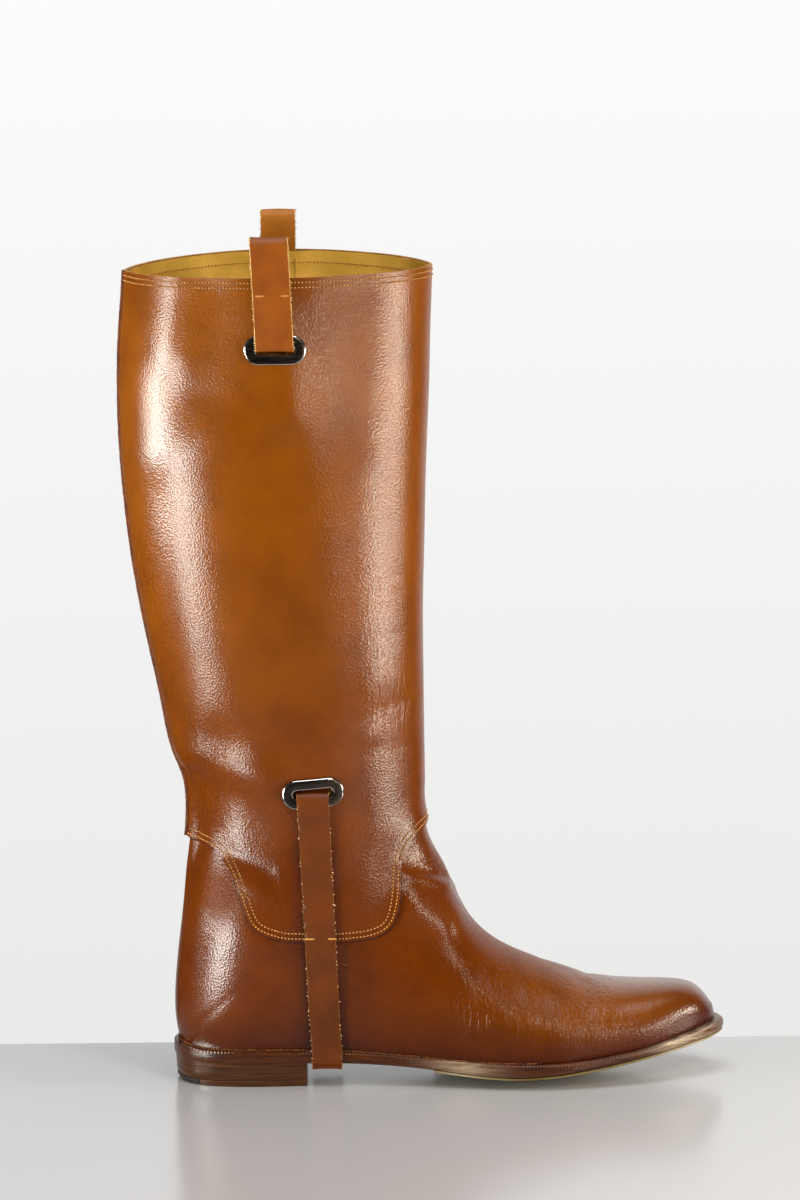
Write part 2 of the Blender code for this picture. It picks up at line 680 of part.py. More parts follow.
def build_back_seam(surface, collection):
    """The raised seam that follows the back of the shaft from its lower edge to the collar."""
    builder = bmesh.new()
    rows = []
    base = GAP + LEATHER + GAP
    half = np.array([0.0, SEAM_WIDTH / 2.0, 0.0])
    back = -math.pi / 2
    hem = float(hem_station(back))
    for rise in np.linspace(0.0, 1.0, SHAFT_ROWS + 1) ** SHAFT_ROW_SPREAD:
        station = hem + rise * (COLLAR - COLLAR_DIP - hem)
        outward = last_normal(station, back, OUTER)
        low = last_point(station, back, OUTER) + base * outward
        high = low + SEAM_HEIGHT * outward
        narrowed = SEAM_TOP_SHARE * half
        rows.append([low - half, low + half, high + narrowed, high - narrowed])
    grid = add_grid(builder, np.array(rows), close_columns=True)
    builder.faces.new(grid[0][::-1])
    builder.faces.new(grid[-1])
    bmesh.ops.recalc_face_normals(builder, faces=builder.faces)
    return add_object("back_seam", builder, surface, collection)


SEAT_STATIONS = np.linspace(HEEL_BACK, 0.0, SEAT_SAMPLES)
SEAT_LINE = section_at(SEAT_STATIONS)


def seat_height(x):
    """Height of the upper's lower edge along the boot, rising on past the toe's tip."""
    beyond = max(0.0, x - SEAT_LINE.low_x[-1])
    return float(np.interp(x, SEAT_LINE.low_x, SEAT_LINE.low_z)) + TOE_RISE * beyond


def sole_point(station, side, out, height):
    """A point beside the feather line, at the height that a rule gives for its x."""
    point = feather(station, side, out)
    return np.array([point[0], point[1], height(point[0])])


def tread_point(station, side, height):
    """A point part of the way from the axis to the edge, where the tread turns flat."""
    axis = section_at(station).axis_y
    edge = feather(station, side)
    return np.array([edge[0], axis + TREAD_SHARE * (edge[1] - axis), height(edge[0])])


def station_at_sole(x):
    """The station whose low point lies at x along the sole."""
    return float(np.interp(x, SEAT_LINE.low_x, SEAT_STATIONS))


def ledge_width(x):
    return float(smooth_between(x, *zip(*LEDGES)))


def underside_edge(x):
    return float(smooth_between(x, *zip(*((row.x, row.edge) for row in UNDERSIDES))))


def underside_middle(x):
    return float(smooth_between(x, *zip(*((row.x, row.middle) for row in UNDERSIDES))))


def sole_edge(x, side):
    """The outermost point of the sole's edge at x, at the height of its top."""
    return sole_point(station_at_sole(x), side, ledge_width(x), lambda place: seat_height(place) - GAP)


def sole_stations():
    """Stations along the whole sole, closer together at the toe and the heel's back."""
    evenly = np.linspace(0.0, 1.0, SOLE_ROWS)
    crowding = np.sin(4.0 * math.pi * evenly) / (4.0 * math.pi)
    return HEEL_BACK * (evenly - SOLE_CROWDING * crowding)


def build_sole_layer(name, stations, profile, surface, collection):
    """A closed layer of the sole. profile gives, for a station and side, the points from the top
    round the edge to the tread, and the outline is closed across to the other side."""
    builder = bmesh.new()
    rows = []
    for station in stations:
        rows.append(profile(station, OUTER) + profile(station, INNER)[::-1])
    grid = add_grid(builder, np.array(rows), close_columns=True)
    if stations[0] > 0.0:
        builder.faces.new(grid[0][::-1])
    if stations[-1] < HEEL_BACK:
        builder.faces.new(grid[-1])
    weld(builder)
    bmesh.ops.recalc_face_normals(builder, faces=builder.faces)
    return add_object(name, builder, surface, collection)


def outsole_profile(station, side):
    ledge = ledge_width(feather(station, side)[0])
    return [
        sole_point(station, side, ledge - EDGE_ROUNDING, lambda x: seat_height(x) - GAP),
        sole_point(station, side, ledge, lambda x: seat_height(x) - GAP - EDGE_ROUNDING),
        sole_point(station, side, ledge, lambda x: underside_edge(x) + EDGE_ROUNDING),
        sole_point(station, side, ledge - EDGE_ROUNDING, underside_edge),
        tread_point(station, side, underside_middle),
    ]


def half_sole_profile(station, side):
    reach = ledge_width(feather(station, side)[0]) - EDGE_ROUNDING
    drop = HALF_SOLE_GAP + HALF_SOLE_THICKNESS
    return [
        tread_point(station, side, lambda x: underside_middle(x) - drop),
        sole_point(station, side, reach, lambda x: underside_edge(x) - drop),
        sole_point(station, side, reach, lambda x: underside_edge(x) - HALF_SOLE_GAP),
        tread_point(station, side, lambda x: underside_middle(x) - HALF_SOLE_GAP),
    ]


def heel_point(station, side, height, inset=0.0):
    """A point of the heel's tapered side, where height is a number or a rule."""
    rule = height if callable(height) else lambda x: height
    x = feather(station, side)[0]
    taper = HEEL_TAPER * (1.0 - rule(x) / underside_edge(x))
    return sole_point(station, side, ledge_width(x) - HEEL_STEP - taper - inset, rule)


def heel_stack_profile(station, side):
    return [
        heel_point(station, side, lambda x: underside_edge(x) - GAP),
        heel_point(station, side, TOP_LIFT_HEIGHT + GAP),
    ]


def top_lift_profile(station, side):
    return [heel_point(station, side, TOP_LIFT_HEIGHT), heel_point(station, side, 0.0)]


def rubber_tip_profile(station, side):
    start = station_at_sole(RUBBER_TIP_END)
    share = (station - start) / (HEEL_BACK - start)
    return [
        heel_point(station, side, TOP_LIFT_HEIGHT),
        heel_point(station, side, RUBBER_TIP_BEVEL),
        heel_point(station, side, 0.0, share * RUBBER_TIP_BEVEL_REACH),
    ]


def insole_profile(station, side):
    inset = -(LEATHER + INSOLE_CLEARANCE)
    bottom = LEATHER + GAP
    top = bottom + INSOLE_THICKNESS
    return [
        sole_point(station, side, inset, lambda x: seat_height(x) + top),
        sole_point(station, side, inset, lambda x: seat_height(x) + bottom),
    ]


def build_boot():
    for old in list(bpy.data.objects):
        bpy.data.objects.remove(old, do_unlink=True)
    boot = bpy.data.collections.new("riding_boot")
    cutters = bpy.data.collections.new("cutters")
    cutters.hide_render = True
    for collection in (boot, cutters):
        bpy.context.scene.collection.children.link(collection)

    leather = material("polished_tan_leather", (0.36, 0.13, 0.03), 0.35)
    strap_leather = material("strap_leather", (0.38, 0.15, 0.04), 0.45)
    sole_leather = material("burnished_sole_leather", (0.10, 0.045, 0.018), 0.4)
    tread_leather = material("half_sole_leather", (0.30, 0.20, 0.09), 0.6)
    lift_leather = material("heel_lift_leather", (0.16, 0.08, 0.035), 0.5)
    rubber = material("black_rubber", (0.012, 0.011, 0.010), 0.7)
    insole_leather = material("insole_leather", (0.45, 0.30, 0.15), 0.7)
    metal = material("gunmetal_plate", (0.18, 0.18, 0.19), 0.2, 1.0)

    breast = station_at_sole(HEEL_BREAST)
    tip_start = station_at_sole(RUBBER_TIP_END)
    lift_end = station_at_sole(RUBBER_TIP_END + GAP)
    half_end = station_at_sole(HALF_SOLE_START)
    whole = sole_stations()
    build_sole_layer("outsole", whole, outsole_profile, sole_leather, boot)
    forefoot = whole[: np.abs(whole - half_end).argmin() + 1]
    build_sole_layer("half_sole", forefoot, half_sole_profile, tread_leather, boot)
    heel = [breast, *whole[whole > breast]]
    build_sole_layer("heel_stack", heel, heel_stack_profile, lift_leather, boot)
    lift = np.linspace(breast, lift_end, HEEL_ROWS)
    build_sole_layer("top_lift", lift, top_lift_profile, lift_leather, boot)
    tip = np.linspace(tip_start, HEEL_BACK, HEEL_ROWS)
    build_sole_layer("rubber_tip", tip, rubber_tip_profile, rubber, boot)
    build_sole_layer("insole", whole, insole_profile, insole_leather, boot)

    build_upper(leather, boot)
    build_shaft(leather, boot, cutters)
    build_back_seam(leather, boot)
    for side, word in SIDE_WORDS.items():
        build_eyelet(f"upper_eyelet_{word}", UPPER_EYELETS[side], side, metal, boot)
        build_eyelet(f"lower_eyelet_{word}", LOWER_EYELETS[side], side, metal, boot)
        build_pull_loop(f"pull_loop_{word}", side, strap_leather, boot)
    build_stirrup(strap_leather, boot)


build_boot()
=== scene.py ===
"""Looks of the tall leather riding boot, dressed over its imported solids.

Sizes are in millimetres and become metres when a mesh is made. +X points to the toe, +Z up and
-Y to the outer side of the foot, as in the solids. The photograph's frame is 800 by 1200 pixels.
"""

import math
from collections import namedtuple

import bmesh
import bpy
import numpy as np
from mathutils import Matrix, Vector


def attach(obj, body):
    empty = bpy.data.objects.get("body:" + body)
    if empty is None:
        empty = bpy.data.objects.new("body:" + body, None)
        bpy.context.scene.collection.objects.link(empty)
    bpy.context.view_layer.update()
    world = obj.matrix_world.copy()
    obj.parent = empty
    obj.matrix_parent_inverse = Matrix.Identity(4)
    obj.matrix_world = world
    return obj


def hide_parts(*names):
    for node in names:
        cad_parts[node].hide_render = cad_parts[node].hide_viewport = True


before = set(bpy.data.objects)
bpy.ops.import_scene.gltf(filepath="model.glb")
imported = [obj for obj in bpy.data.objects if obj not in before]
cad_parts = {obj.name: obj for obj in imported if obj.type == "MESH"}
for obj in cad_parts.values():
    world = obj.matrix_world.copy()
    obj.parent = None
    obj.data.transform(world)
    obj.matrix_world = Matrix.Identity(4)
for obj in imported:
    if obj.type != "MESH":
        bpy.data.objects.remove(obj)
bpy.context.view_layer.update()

MM = 0.001
# Thickness of the leather and of the lining, the space that glue takes, and the shaft's lap over the foot
LEATHER = 1.6
LINING_THICKNESS = 0.6
GAP = 0.3
LAP = 9.0
# How far the shaft's outer face lies out from the last
SHAFT_FACE = GAP + LEATHER
OUTER, INNER = -1, 1
SIDE_WORDS = {OUTER: "outer", INNER: "inner"}
# Angles round a section at its low and its high point, the back and the front of the leg
BACK, FRONT = -math.pi / 2, math.pi / 2
SEED = 7

# Sections of the last, fanned from the toe to the collar. Each lies in a plane across the boot,
# from a low point (on the sole's edge, then up the back) to a high point (over the vamp, then up
# the shin). side_* are the half widths from the axis, hem_* the share of them left at the sole,
# and widest is how far from low to high the section is widest. A taper of 1 gives an ellipse, less
# is blunter and more is sharper.
Section = namedtuple(
    "Section",
    "low_x low_z high_x high_z axis_y side_outer side_inner hem_outer hem_inner widest low_taper high_taper",
)
SECTIONS = (
    Section(238.0, 26.1, 236.9, 32.0, 7.5, 0.0, 0.0, 0.92, 0.92, 0.45, 0.82, 0.75),
    Section(234.3, 25.2, 233.8, 36.2, 7.4, 12.0, 11.5, 0.92, 0.92, 0.42, 0.82, 0.75),
    Section(227.8, 23.8, 226.8, 42.6, 7.0, 20.0, 18.5, 0.95, 0.95, 0.38, 0.82, 0.75),
    Section(217.0, 21.3, 214.5, 44.8, 6.5, 28.2, 26.2, 0.96, 0.96, 0.34, 0.82, 0.75),
    Section(201.8, 18.2, 197.8, 45.2, 6.0, 36.5, 33.5, 0.97, 0.97, 0.31, 0.82, 0.82),
    Section(184.0, 15.8, 177.0, 47.6, 5.5, 43.0, 38.2, 0.97, 0.97, 0.28, 0.82, 0.91),
    Section(165.0, 14.0, 154.0, 55.2, 5.0, 47.5, 40.8, 0.98, 0.97, 0.26, 0.82, 1.00),
    Section(144.0, 13.3, 130.5, 65.8, 4.0, 48.0, 40.5, 0.98, 0.95, 0.26, 0.82, 1.08),
    Section(120.0, 13.5, 113.6, 82.6, 3.0, 44.5, 36.5, 0.96, 0.90, 0.28, 0.82, 1.13),
    Section(92.0, 15.0, 104.4, 103.4, 2.0, 39.0, 33.0, 0.90, 0.80, 0.32, 0.82, 1.13),
    Section(60.0, 17.0, 97.0, 117.6, 1.0, 35.6, 32.0, 0.81, 0.72, 0.38, 0.82, 1.11),
    Section(28.0, 18.3, 93.3, 129.6, 0.5, 35.2, 33.4, 0.81, 0.79, 0.42, 0.82, 1.06),
    Section(0.0, 18.8, 91.6, 141.0, 0.0, 36.2, 35.4, 0.79, 0.81, 0.45, 0.82, 1.02),
    Section(-20.0, 19.2, 91.7, 150.0, 0.0, 37.0, 36.6, 0.61, 0.62, 0.46, 0.82, 1.00),
    Section(-28.6, 20.1, 91.7, 156.0, 0.0, 37.5, 37.2, 0.31, 0.31, 0.47, 0.86, 1.00),
    Section(-31.0, 20.6, 91.7, 162.0, 0.0, 37.8, 37.6, 0.00, 0.00, 0.47, 0.91, 1.00),
    Section(-32.9, 32.8, 91.6, 171.0, 0.0, 38.0, 37.9, 0.00, 0.00, 0.48, 0.91, 1.00),
    Section(-32.6, 49.5, 91.6, 179.0, 0.0, 38.2, 38.1, 0.00, 0.00, 0.48, 0.91, 1.00),
    Section(-30.6, 69.2, 91.5, 187.0, 0.0, 38.4, 38.3, 0.00, 0.00, 0.49, 0.91, 1.00),
    Section(-28.2, 89.0, 91.5, 195.0, 0.0, 38.6, 38.6, 0.00, 0.00, 0.49, 0.91, 1.00),
    Section(-26.4, 107.0, 91.5, 203.0, 0.0, 38.9, 38.9, 0.00, 0.00, 0.50, 0.91, 1.00),
    Section(-24.3, 123.0, 91.5, 211.0, 0.0, 39.3, 39.3, 0.00, 0.00, 0.50, 0.91, 1.00),
    Section(-23.3, 139.0, 91.5, 219.0, 0.0, 39.8, 39.8, 0.00, 0.00, 0.50, 0.91, 1.00),
    Section(-25.2, 155.0, 91.5, 228.0, 0.0, 40.5, 40.5, 0.00, 0.00, 0.50, 0.91, 1.00),
    Section(-30.8, 170.0, 91.6, 238.0, 0.0, 41.4, 41.4, 0.00, 0.00, 0.50, 0.91, 1.00),
    Section(-35.3, 193.0, 91.9, 251.0, 0.0, 42.6, 42.6, 0.00, 0.00, 0.49, 0.92, 1.01),
    Section(-41.5, 223.0, 92.6, 271.0, 0.0, 44.2, 44.2, 0.00, 0.00, 0.48, 0.94, 1.02),
    Section(-48.0, 259.0, 93.3, 295.0, 0.0, 45.8, 45.8, 0.00, 0.00, 0.48, 0.96, 1.04),
    Section(-52.5, 297.0, 94.3, 321.0, 0.0, 47.0, 47.0, 0.00, 0.00, 0.48, 1.00, 1.06),
    Section(-54.7, 335.0, 95.7, 349.0, 0.0, 48.0, 48.0, 0.00, 0.00, 0.48, 1.04, 1.11),
    Section(-54.3, 371.0, 96.6, 377.0, 0.0, 48.4, 48.4, 0.00, 0.00, 0.48, 1.08, 1.15),
    Section(-52.5, 395.0, 97.5, 398.0, 0.0, 48.6, 48.6, 0.00, 0.00, 0.48, 1.20, 1.19),
    Section(-51.5, 411.3, 98.0, 412.6, 0.0, 48.6, 48.6, 0.00, 0.00, 0.48, 1.28, 1.23),
)
# Stations where the sole's edge ends at the heel's back, and of the collar
HEEL_BACK = 15.0
COLLAR = len(SECTIONS) - 1.0

# Lower edge of the shaft, a shield shape lapped over the foot, as x and z from the back seam to the shin
SHAFT_HEM = (
    (-25.7, 122.9), (-13.0, 119.8), (-4.6, 109.2), (0.7, 97.0), (7.0, 83.0), (19.5, 77.0),
    (32.9, 75.6), (51.3, 75.2), (68.0, 77.0), (76.6, 83.0), (79.8, 95.0), (80.4, 110.0),
    (83.6, 121.6), (93.2, 129.6),
)
# Stations by which the collar is lower at the seam and the shin than at the sides
COLLAR_DIP = 0.13

# Sole: how far its edge stands out from the upper at each x, and the height of its underside
LEDGES = (
    (-36.0, 2.6), (30.0, 2.2), (60.0, 2.0), (95.0, 2.6), (140.0, 3.4), (200.0, 3.8),
    (239.0, 4.4),
)
Underside = namedtuple("Underside", "x edge middle")
UNDERSIDES = (
    Underside(-36.0, 12.6, 12.6),
    Underside(33.0, 11.6, 11.6),
    Underside(55.0, 11.2, 11.0),
    Underside(79.0, 10.2, 9.4),
    Underside(97.0, 9.0, 5.6),
    Underside(110.0, 7.8, 2.6),
    Underside(120.0, 6.9, 1.3),
    Underside(137.0, 6.2, 1.3),
    Underside(152.0, 6.9, 1.3),
    Underside(165.0, 8.2, 2.9),
    Underside(187.0, 11.2, 8.2),
    Underside(200.0, 13.4, 11.4),
    Underside(216.0, 16.2, 15.0),
    Underside(241.0, 20.8, 20.4),
)
EDGE_ROUNDING = 1.1
# Slope of the sole beyond the tip of the upper
TOE_SLOPE = -0.1
TREAD_SHARE = 0.42
HALF_SOLE_START = 97.0
HALF_SOLE_THICKNESS = 0.9
HALF_SOLE_GAP = 0.4
HEEL_BREAST = 33.0
HEEL_STEP = 0.6
HEEL_TAPER = 0.9
TOP_LIFT_HEIGHT = 3.0
RUBBER_TIP_END = -20.5
RUBBER_TIP_BEVEL = 1.1
RUBBER_TIP_BEVEL_REACH = 3.2

# Metal plates with a slot, one above the other on each side of the shaft.
Eyelet = namedtuple("Eyelet", "x z tilt_degrees")
UPPER_EYELETS = {OUTER: Eyelet(21.4, 376.6, 0.0), INNER: Eyelet(22.8, 376.6, 0.0)}
LOWER_EYELETS = {OUTER: Eyelet(37.4, 151.4, 4.0), INNER: Eyelet(37.4, 151.4, 4.0)}
EYELET_LENGTH = 31.0
EYELET_HEIGHT = 14.8
EYELET_THICKNESS = 1.8
EYELET_SEAT = 0.65
SLOT_LENGTH = 20.4
SLOT_HEIGHT = 4.6

# Straps. A path's points give the rise from the plate and the distance out from the shaft's outer face.
STRAP_THICKNESS = 1.4
PULL_LOOP_WIDTHS = {OUTER: 18.9, INNER: 17.3}
PULL_LOOP_LEANS = {OUTER: 0.044, INNER: 0.0}
STIRRUP_TOP_WIDTH = 16.4
STIRRUP_LOW_WIDTH = 14.8
STIRRUP_LOW_X = 43.2
PULL_LOOP_PATH = (
    (0.0, -0.8), (0.2, 1.6), (1.8, 3.4), (5.5, 4.0), (9.5, 3.2), (15.0, 1.8),
    (22.0, 1.2), (29.0, 1.2), (37.0, 1.7), (46.5, 2.3), (52.4, 1.9), (55.0, -0.8),
    (52.4, -3.5), (46.5, -4.0), (37.0, -3.5), (29.0, -3.4), (15.0, -3.4), (6.0, -3.5),
    (1.6, -3.1),
)
STIRRUP_PATH = (
    (13.0, -3.8), (6.0, -3.8), (1.4, -3.1), (0.0, -0.8), (-0.6, 1.8), (-2.6, 3.5),
    (-6.0, 4.1), (-10.5, 3.3), (-17.0, 2.1), (-30.0, 1.7), (-45.0, 1.7), (-60.0, 1.7),
    (-74.0, 1.6), (-90.0, 1.3), (-105.0, 1.0), (-118.0, 0.5),
)
STIRRUP_STAND_OFF = 1.3
# The strap's turn under the sole, as steps in from its side and up from its underside
STIRRUP_TURN = ((0.0, 3.6), (0.55, 0.55), (3.6, 0.0))

# Raised seam down the back of the shaft
SEAM_WIDTH = 2.4
SEAM_HEIGHT = 0.9

# Steps of the surface's own arithmetic, and the most of a section's width that is left at the sole
HALVINGS = 50
STATION_STEP = 0.01
SEAT_SAMPLES = 300
WELD_DECIMALS = 3
WIDEST_HEM = 0.999


def unit(vectors):
    """The directions of vectors."""
    return vectors / np.linalg.norm(vectors, axis=-1, keepdims=True)


def natural_cubic(values):
    """Second derivatives of the smooth curve through values at 0, 1, 2 and so on, one column each."""
    count = len(values)
    matrix = np.eye(count)
    right = np.zeros_like(values)
    for i in range(1, count - 1):
        matrix[i, i - 1 : i + 2] = (1.0, 4.0, 1.0)
        right[i] = 6.0 * (values[i - 1] - 2.0 * values[i] + values[i + 1])
    return np.linalg.solve(matrix, right)


def mirrored_start(table):
    """The table with its second row mirrored before the first, so that the toe's tip is round."""
    ahead = table[1].copy()
    for name in ("side_outer", "side_inner"):
        column = Section._fields.index(name)
        ahead[column] = -ahead[column]
    return np.vstack([ahead, table])


SECTION_VALUES = mirrored_start(np.array(SECTIONS))
SECTION_BENDS = natural_cubic(SECTION_VALUES)


def section_at(station):
    """The section at a station, where 0 is the toe's tip and COLLAR the top, as a named row of arrays."""
    place = np.clip(np.asarray(station, float), 0.0, COLLAR) + 1.0
    below = np.minimum(place.astype(int), len(SECTION_VALUES) - 2)
    after = (place - below)[..., None]
    before = 1.0 - after
    row = before * SECTION_VALUES[below] + after * SECTION_VALUES[below + 1]
    row += (before**3 - before) * SECTION_BENDS[below] / 6.0
    row += (after**3 - after) * SECTION_BENDS[below + 1] / 6.0
    section = Section(*np.moveaxis(row, -1, 0))
    open_below = place < HEEL_BACK + 1.0
    return section._replace(
        hem_outer=np.where(open_below, section.hem_outer, 0.0),
        hem_inner=np.where(open_below, section.hem_inner, 0.0),
    )


def arc_of(section, side):
    """Half width, lower axis and starting angle of a section's outline on one side."""
    width = section.side_outer if side == OUTER else section.side_inner
    hem = section.hem_outer if side == OUTER else section.hem_inner
    start = -np.arccos(np.clip(hem, 0.0, WIDEST_HEM) ** (1.0 / section.low_taper))
    return width, section.widest / np.sin(-start), start


def last_point(station, angle, side):
    """A point of the foot's outer surface. The angle is -90 degrees at the back and 90 at the front."""
    station, angle = np.broadcast_arrays(np.asarray(station, float), np.asarray(angle, float))
    section = section_at(station)
    width, low_axis, start = arc_of(section, side)
    angle = np.clip(angle, start, FRONT)
    taper = np.where(angle < 0.0, section.low_taper, section.high_taper)
    axis = np.where(angle < 0.0, low_axis, 1.0 - section.widest)
    share = section.widest + axis * np.sin(angle)
    half = width * np.maximum(np.cos(angle), 0.0) ** taper
    x = section.low_x + share * (section.high_x - section.low_x)
    z = section.low_z + share * (section.high_z - section.low_z)
    return np.stack([x, section.axis_y + side * half, z], axis=-1)


def last_normal(station, angle, side):
    """The outward direction of last_point."""
    step = STATION_STEP
    station, angle = np.broadcast_arrays(np.asarray(station, float), np.asarray(angle, float))
    inside = np.clip(station, step, COLLAR - step)
    lowest = np.maximum(low_angle(inside - step, side), low_angle(inside + step, side))
    between = np.clip(angle, lowest + step, FRONT - step)
    along = last_point(inside + step, between, side) - last_point(inside - step, between, side)
    across = last_point(inside, between + step, side) - last_point(inside, between - step, side)
    normal = side * np.cross(along, across)
    on_middle = (angle >= FRONT) | ((angle <= BACK) & (station >= HEEL_BACK))
    normal[..., 1] = np.where(on_middle, 0.0, normal[..., 1])
    return unit(normal)


def low_angle(station, side):
    """The angle at which a section starts, at the sole or, above the heel, at the back."""
    return arc_of(section_at(station), side)[2]


def locate(x, z, side):
    """(station, angle) of the surface points seen at x, z from one side."""
    x, z = np.broadcast_arrays(np.asarray(x, float), np.asarray(z, float))
    low, high = np.zeros(x.shape), np.full(x.shape, COLLAR)
    for _ in range(HALVINGS):
        station = (low + high) / 2.0
        section = section_at(station)
        run_x, run_z = section.high_x - section.low_x, section.high_z - section.low_z
        ahead = run_x * (z - section.low_z) - run_z * (x - section.low_x) > 0.0
        low, high = np.where(ahead, station, low), np.where(ahead, high, station)
    share = (run_x * (x - section.low_x) + run_z * (z - section.low_z)) / (run_x**2 + run_z**2)
    offset = share - section.widest
    axis = np.where(offset < 0.0, arc_of(section, side)[1], 1.0 - section.widest)
    return station, np.arcsin(np.clip(offset / axis, -1.0, 1.0))


def smooth_between(x, xs, ys):
    """A curve through the points that never passes beyond their heights."""
    xs, ys = np.asarray(xs, float), np.asarray(ys, float)
    slopes = np.diff(ys) / np.diff(xs)
    tangents = np.zeros_like(ys)
    same_way = slopes[:-1] * slopes[1:] > 0.0
    means = 2.0 * slopes[:-1] * slopes[1:] / np.where(same_way, slopes[:-1] + slopes[1:], 1.0)
    tangents[1:-1] = np.where(same_way, means, 0.0)
    tangents[0], tangents[-1] = slopes[0], slopes[-1]
    i = np.clip(np.searchsorted(xs, x) - 1, 0, len(xs) - 2)
    width = xs[i + 1] - xs[i]
    t = np.clip((x - xs[i]) / width, 0.0, 1.0)
    start = (1 + 2 * t) * (1 - t) ** 2 * ys[i] + t * (1 - t) ** 2 * width * tangents[i]
    end = t**2 * (3 - 2 * t) * ys[i + 1] + t**2 * (t - 1) * width * tangents[i + 1]
    return start + end


def through(points, steps, closed=False):
    """Points on a smooth path through the given ones, steps of them for each stretch."""
    points = np.asarray(points, float)
    if closed:
        padded = np.vstack([points[-1:], points, points[:2]])
    else:
        padded = np.vstack([2 * points[0] - points[1], points, 2 * points[-1] - points[-2]])
    path = []
    for a, b, c, d in zip(padded, padded[1:], padded[2:], padded[3:]):
        for t in np.arange(steps) / steps:
            squared = 2 * a - 5 * b + 4 * c - d
            cubed = 3 * b - a - 3 * c + d
            path.append(b + 0.5 * ((c - a) * t + squared * t**2 + cubed * t**3))
    if not closed:
        path.append(points[-1])
    return np.array(path)


HEM_STEPS = 12
HEM_LINE = through(SHAFT_HEM, HEM_STEPS)
HEM_STATIONS, HEM_ANGLES = locate(HEM_LINE[:, 0], HEM_LINE[:, 1], OUTER)
HEM_ANGLES[0], HEM_ANGLES[-1] = BACK, FRONT
HEM_ANGLES = np.maximum.accumulate(HEM_ANGLES)


def hem_station(angle):
    """Where the shaft's lower edge lies at an angle."""
    return np.interp(angle, HEM_ANGLES, HEM_STATIONS)


def lapped_station(angle):
    """Where the foot's own upper edge lies, under the shaft."""
    hem = hem_station(angle)
    rise = last_point(hem + STATION_STEP, angle, OUTER) - last_point(hem, angle, OUTER)
    return hem + STATION_STEP * LAP / np.linalg.norm(rise, axis=-1)


def collar_station(angle):
    """Where the shaft's upper edge lies at an angle."""
    return COLLAR - COLLAR_DIP * np.sin(angle) ** 2


def foot_angle(station, angle, side):
    """A column's angle on the foot, where the angles below the widest line end at the sole."""
    return np.where(angle >= 0.0, angle, low_angle(station, side) * angle / BACK)


def foot_top(angle, side):
    """The stations where columns of the foot's mesh meet the foot's upper edge."""
    low, high = np.full(angle.shape, HEM_STATIONS.min()), np.full(angle.shape, COLLAR)
    for _ in range(HALVINGS):
        station = (low + high) / 2.0
        below = station < lapped_station(foot_angle(station, angle, side))
        low, high = np.where(below, station, low), np.where(below, high, station)
    return station


SEAT_STATIONS = np.linspace(HEEL_BACK, 0.0, SEAT_SAMPLES)
SEAT_LINE = section_at(SEAT_STATIONS)


def seat_height(x):
    """Height of the upper's lower edge along the boot, carried on past the toe's tip at a slope."""
    beyond = np.maximum(0.0, x - SEAT_LINE.low_x[-1])
    return np.interp(x, SEAT_LINE.low_x, SEAT_LINE.low_z) + TOE_SLOPE * beyond


def station_at_sole(x):
    """The station whose low point lies at x along the sole."""
    return float(np.interp(x, SEAT_LINE.low_x, SEAT_STATIONS))


def feather(station, side, out=0.0):
    """Points of the line where the upper meets the sole, moved out level with the floor."""
    station = np.asarray(station, float)
    edge = last_point(station, BACK, side)
    ahead = last_point(np.minimum(station + STATION_STEP, HEEL_BACK), BACK, side)
    behind = last_point(np.maximum(station - STATION_STEP, 0.0), BACK, side)
    along = ahead - behind
    outward = unit(side * np.stack([along[..., 1], -along[..., 0], np.zeros(station.shape)], axis=-1))
    outward = np.where((station <= STATION_STEP)[..., None], (1.0, 0.0, 0.0), outward)
    outward = np.where((station >= HEEL_BACK - STATION_STEP)[..., None], (-1.0, 0.0, 0.0), outward)
    return edge + np.asarray(out)[..., None] * outward


def ledge_width(x):
    """How far the sole's edge stands out from the upper."""
    return smooth_between(x, *zip(*LEDGES))


def underside_edge(x):
    """Height of the sole's underside at its edge."""
    return smooth_between(x, *zip(*((row.x, row.edge) for row in UNDERSIDES)))


def underside_middle(x):
    """Height of the sole's underside in its middle."""
    return smooth_between(x, *zip(*((row.x, row.middle) for row in UNDERSIDES)))


def sole_point(station, side, out, height):
    """Points beside the feather line, at the height that a rule gives for their x."""
    point = feather(station, side, out)
    point[..., 2] = height(point[..., 0])
    return point


def tread_point(station, side, share, height):
    """Points part of the way from the axis to the edge, under the sole."""
    axis = section_at(station).axis_y
    point = feather(station, side)
    point[..., 1] = axis + share * (point[..., 1] - axis)
    point[..., 2] = height(point[..., 0])
    return point


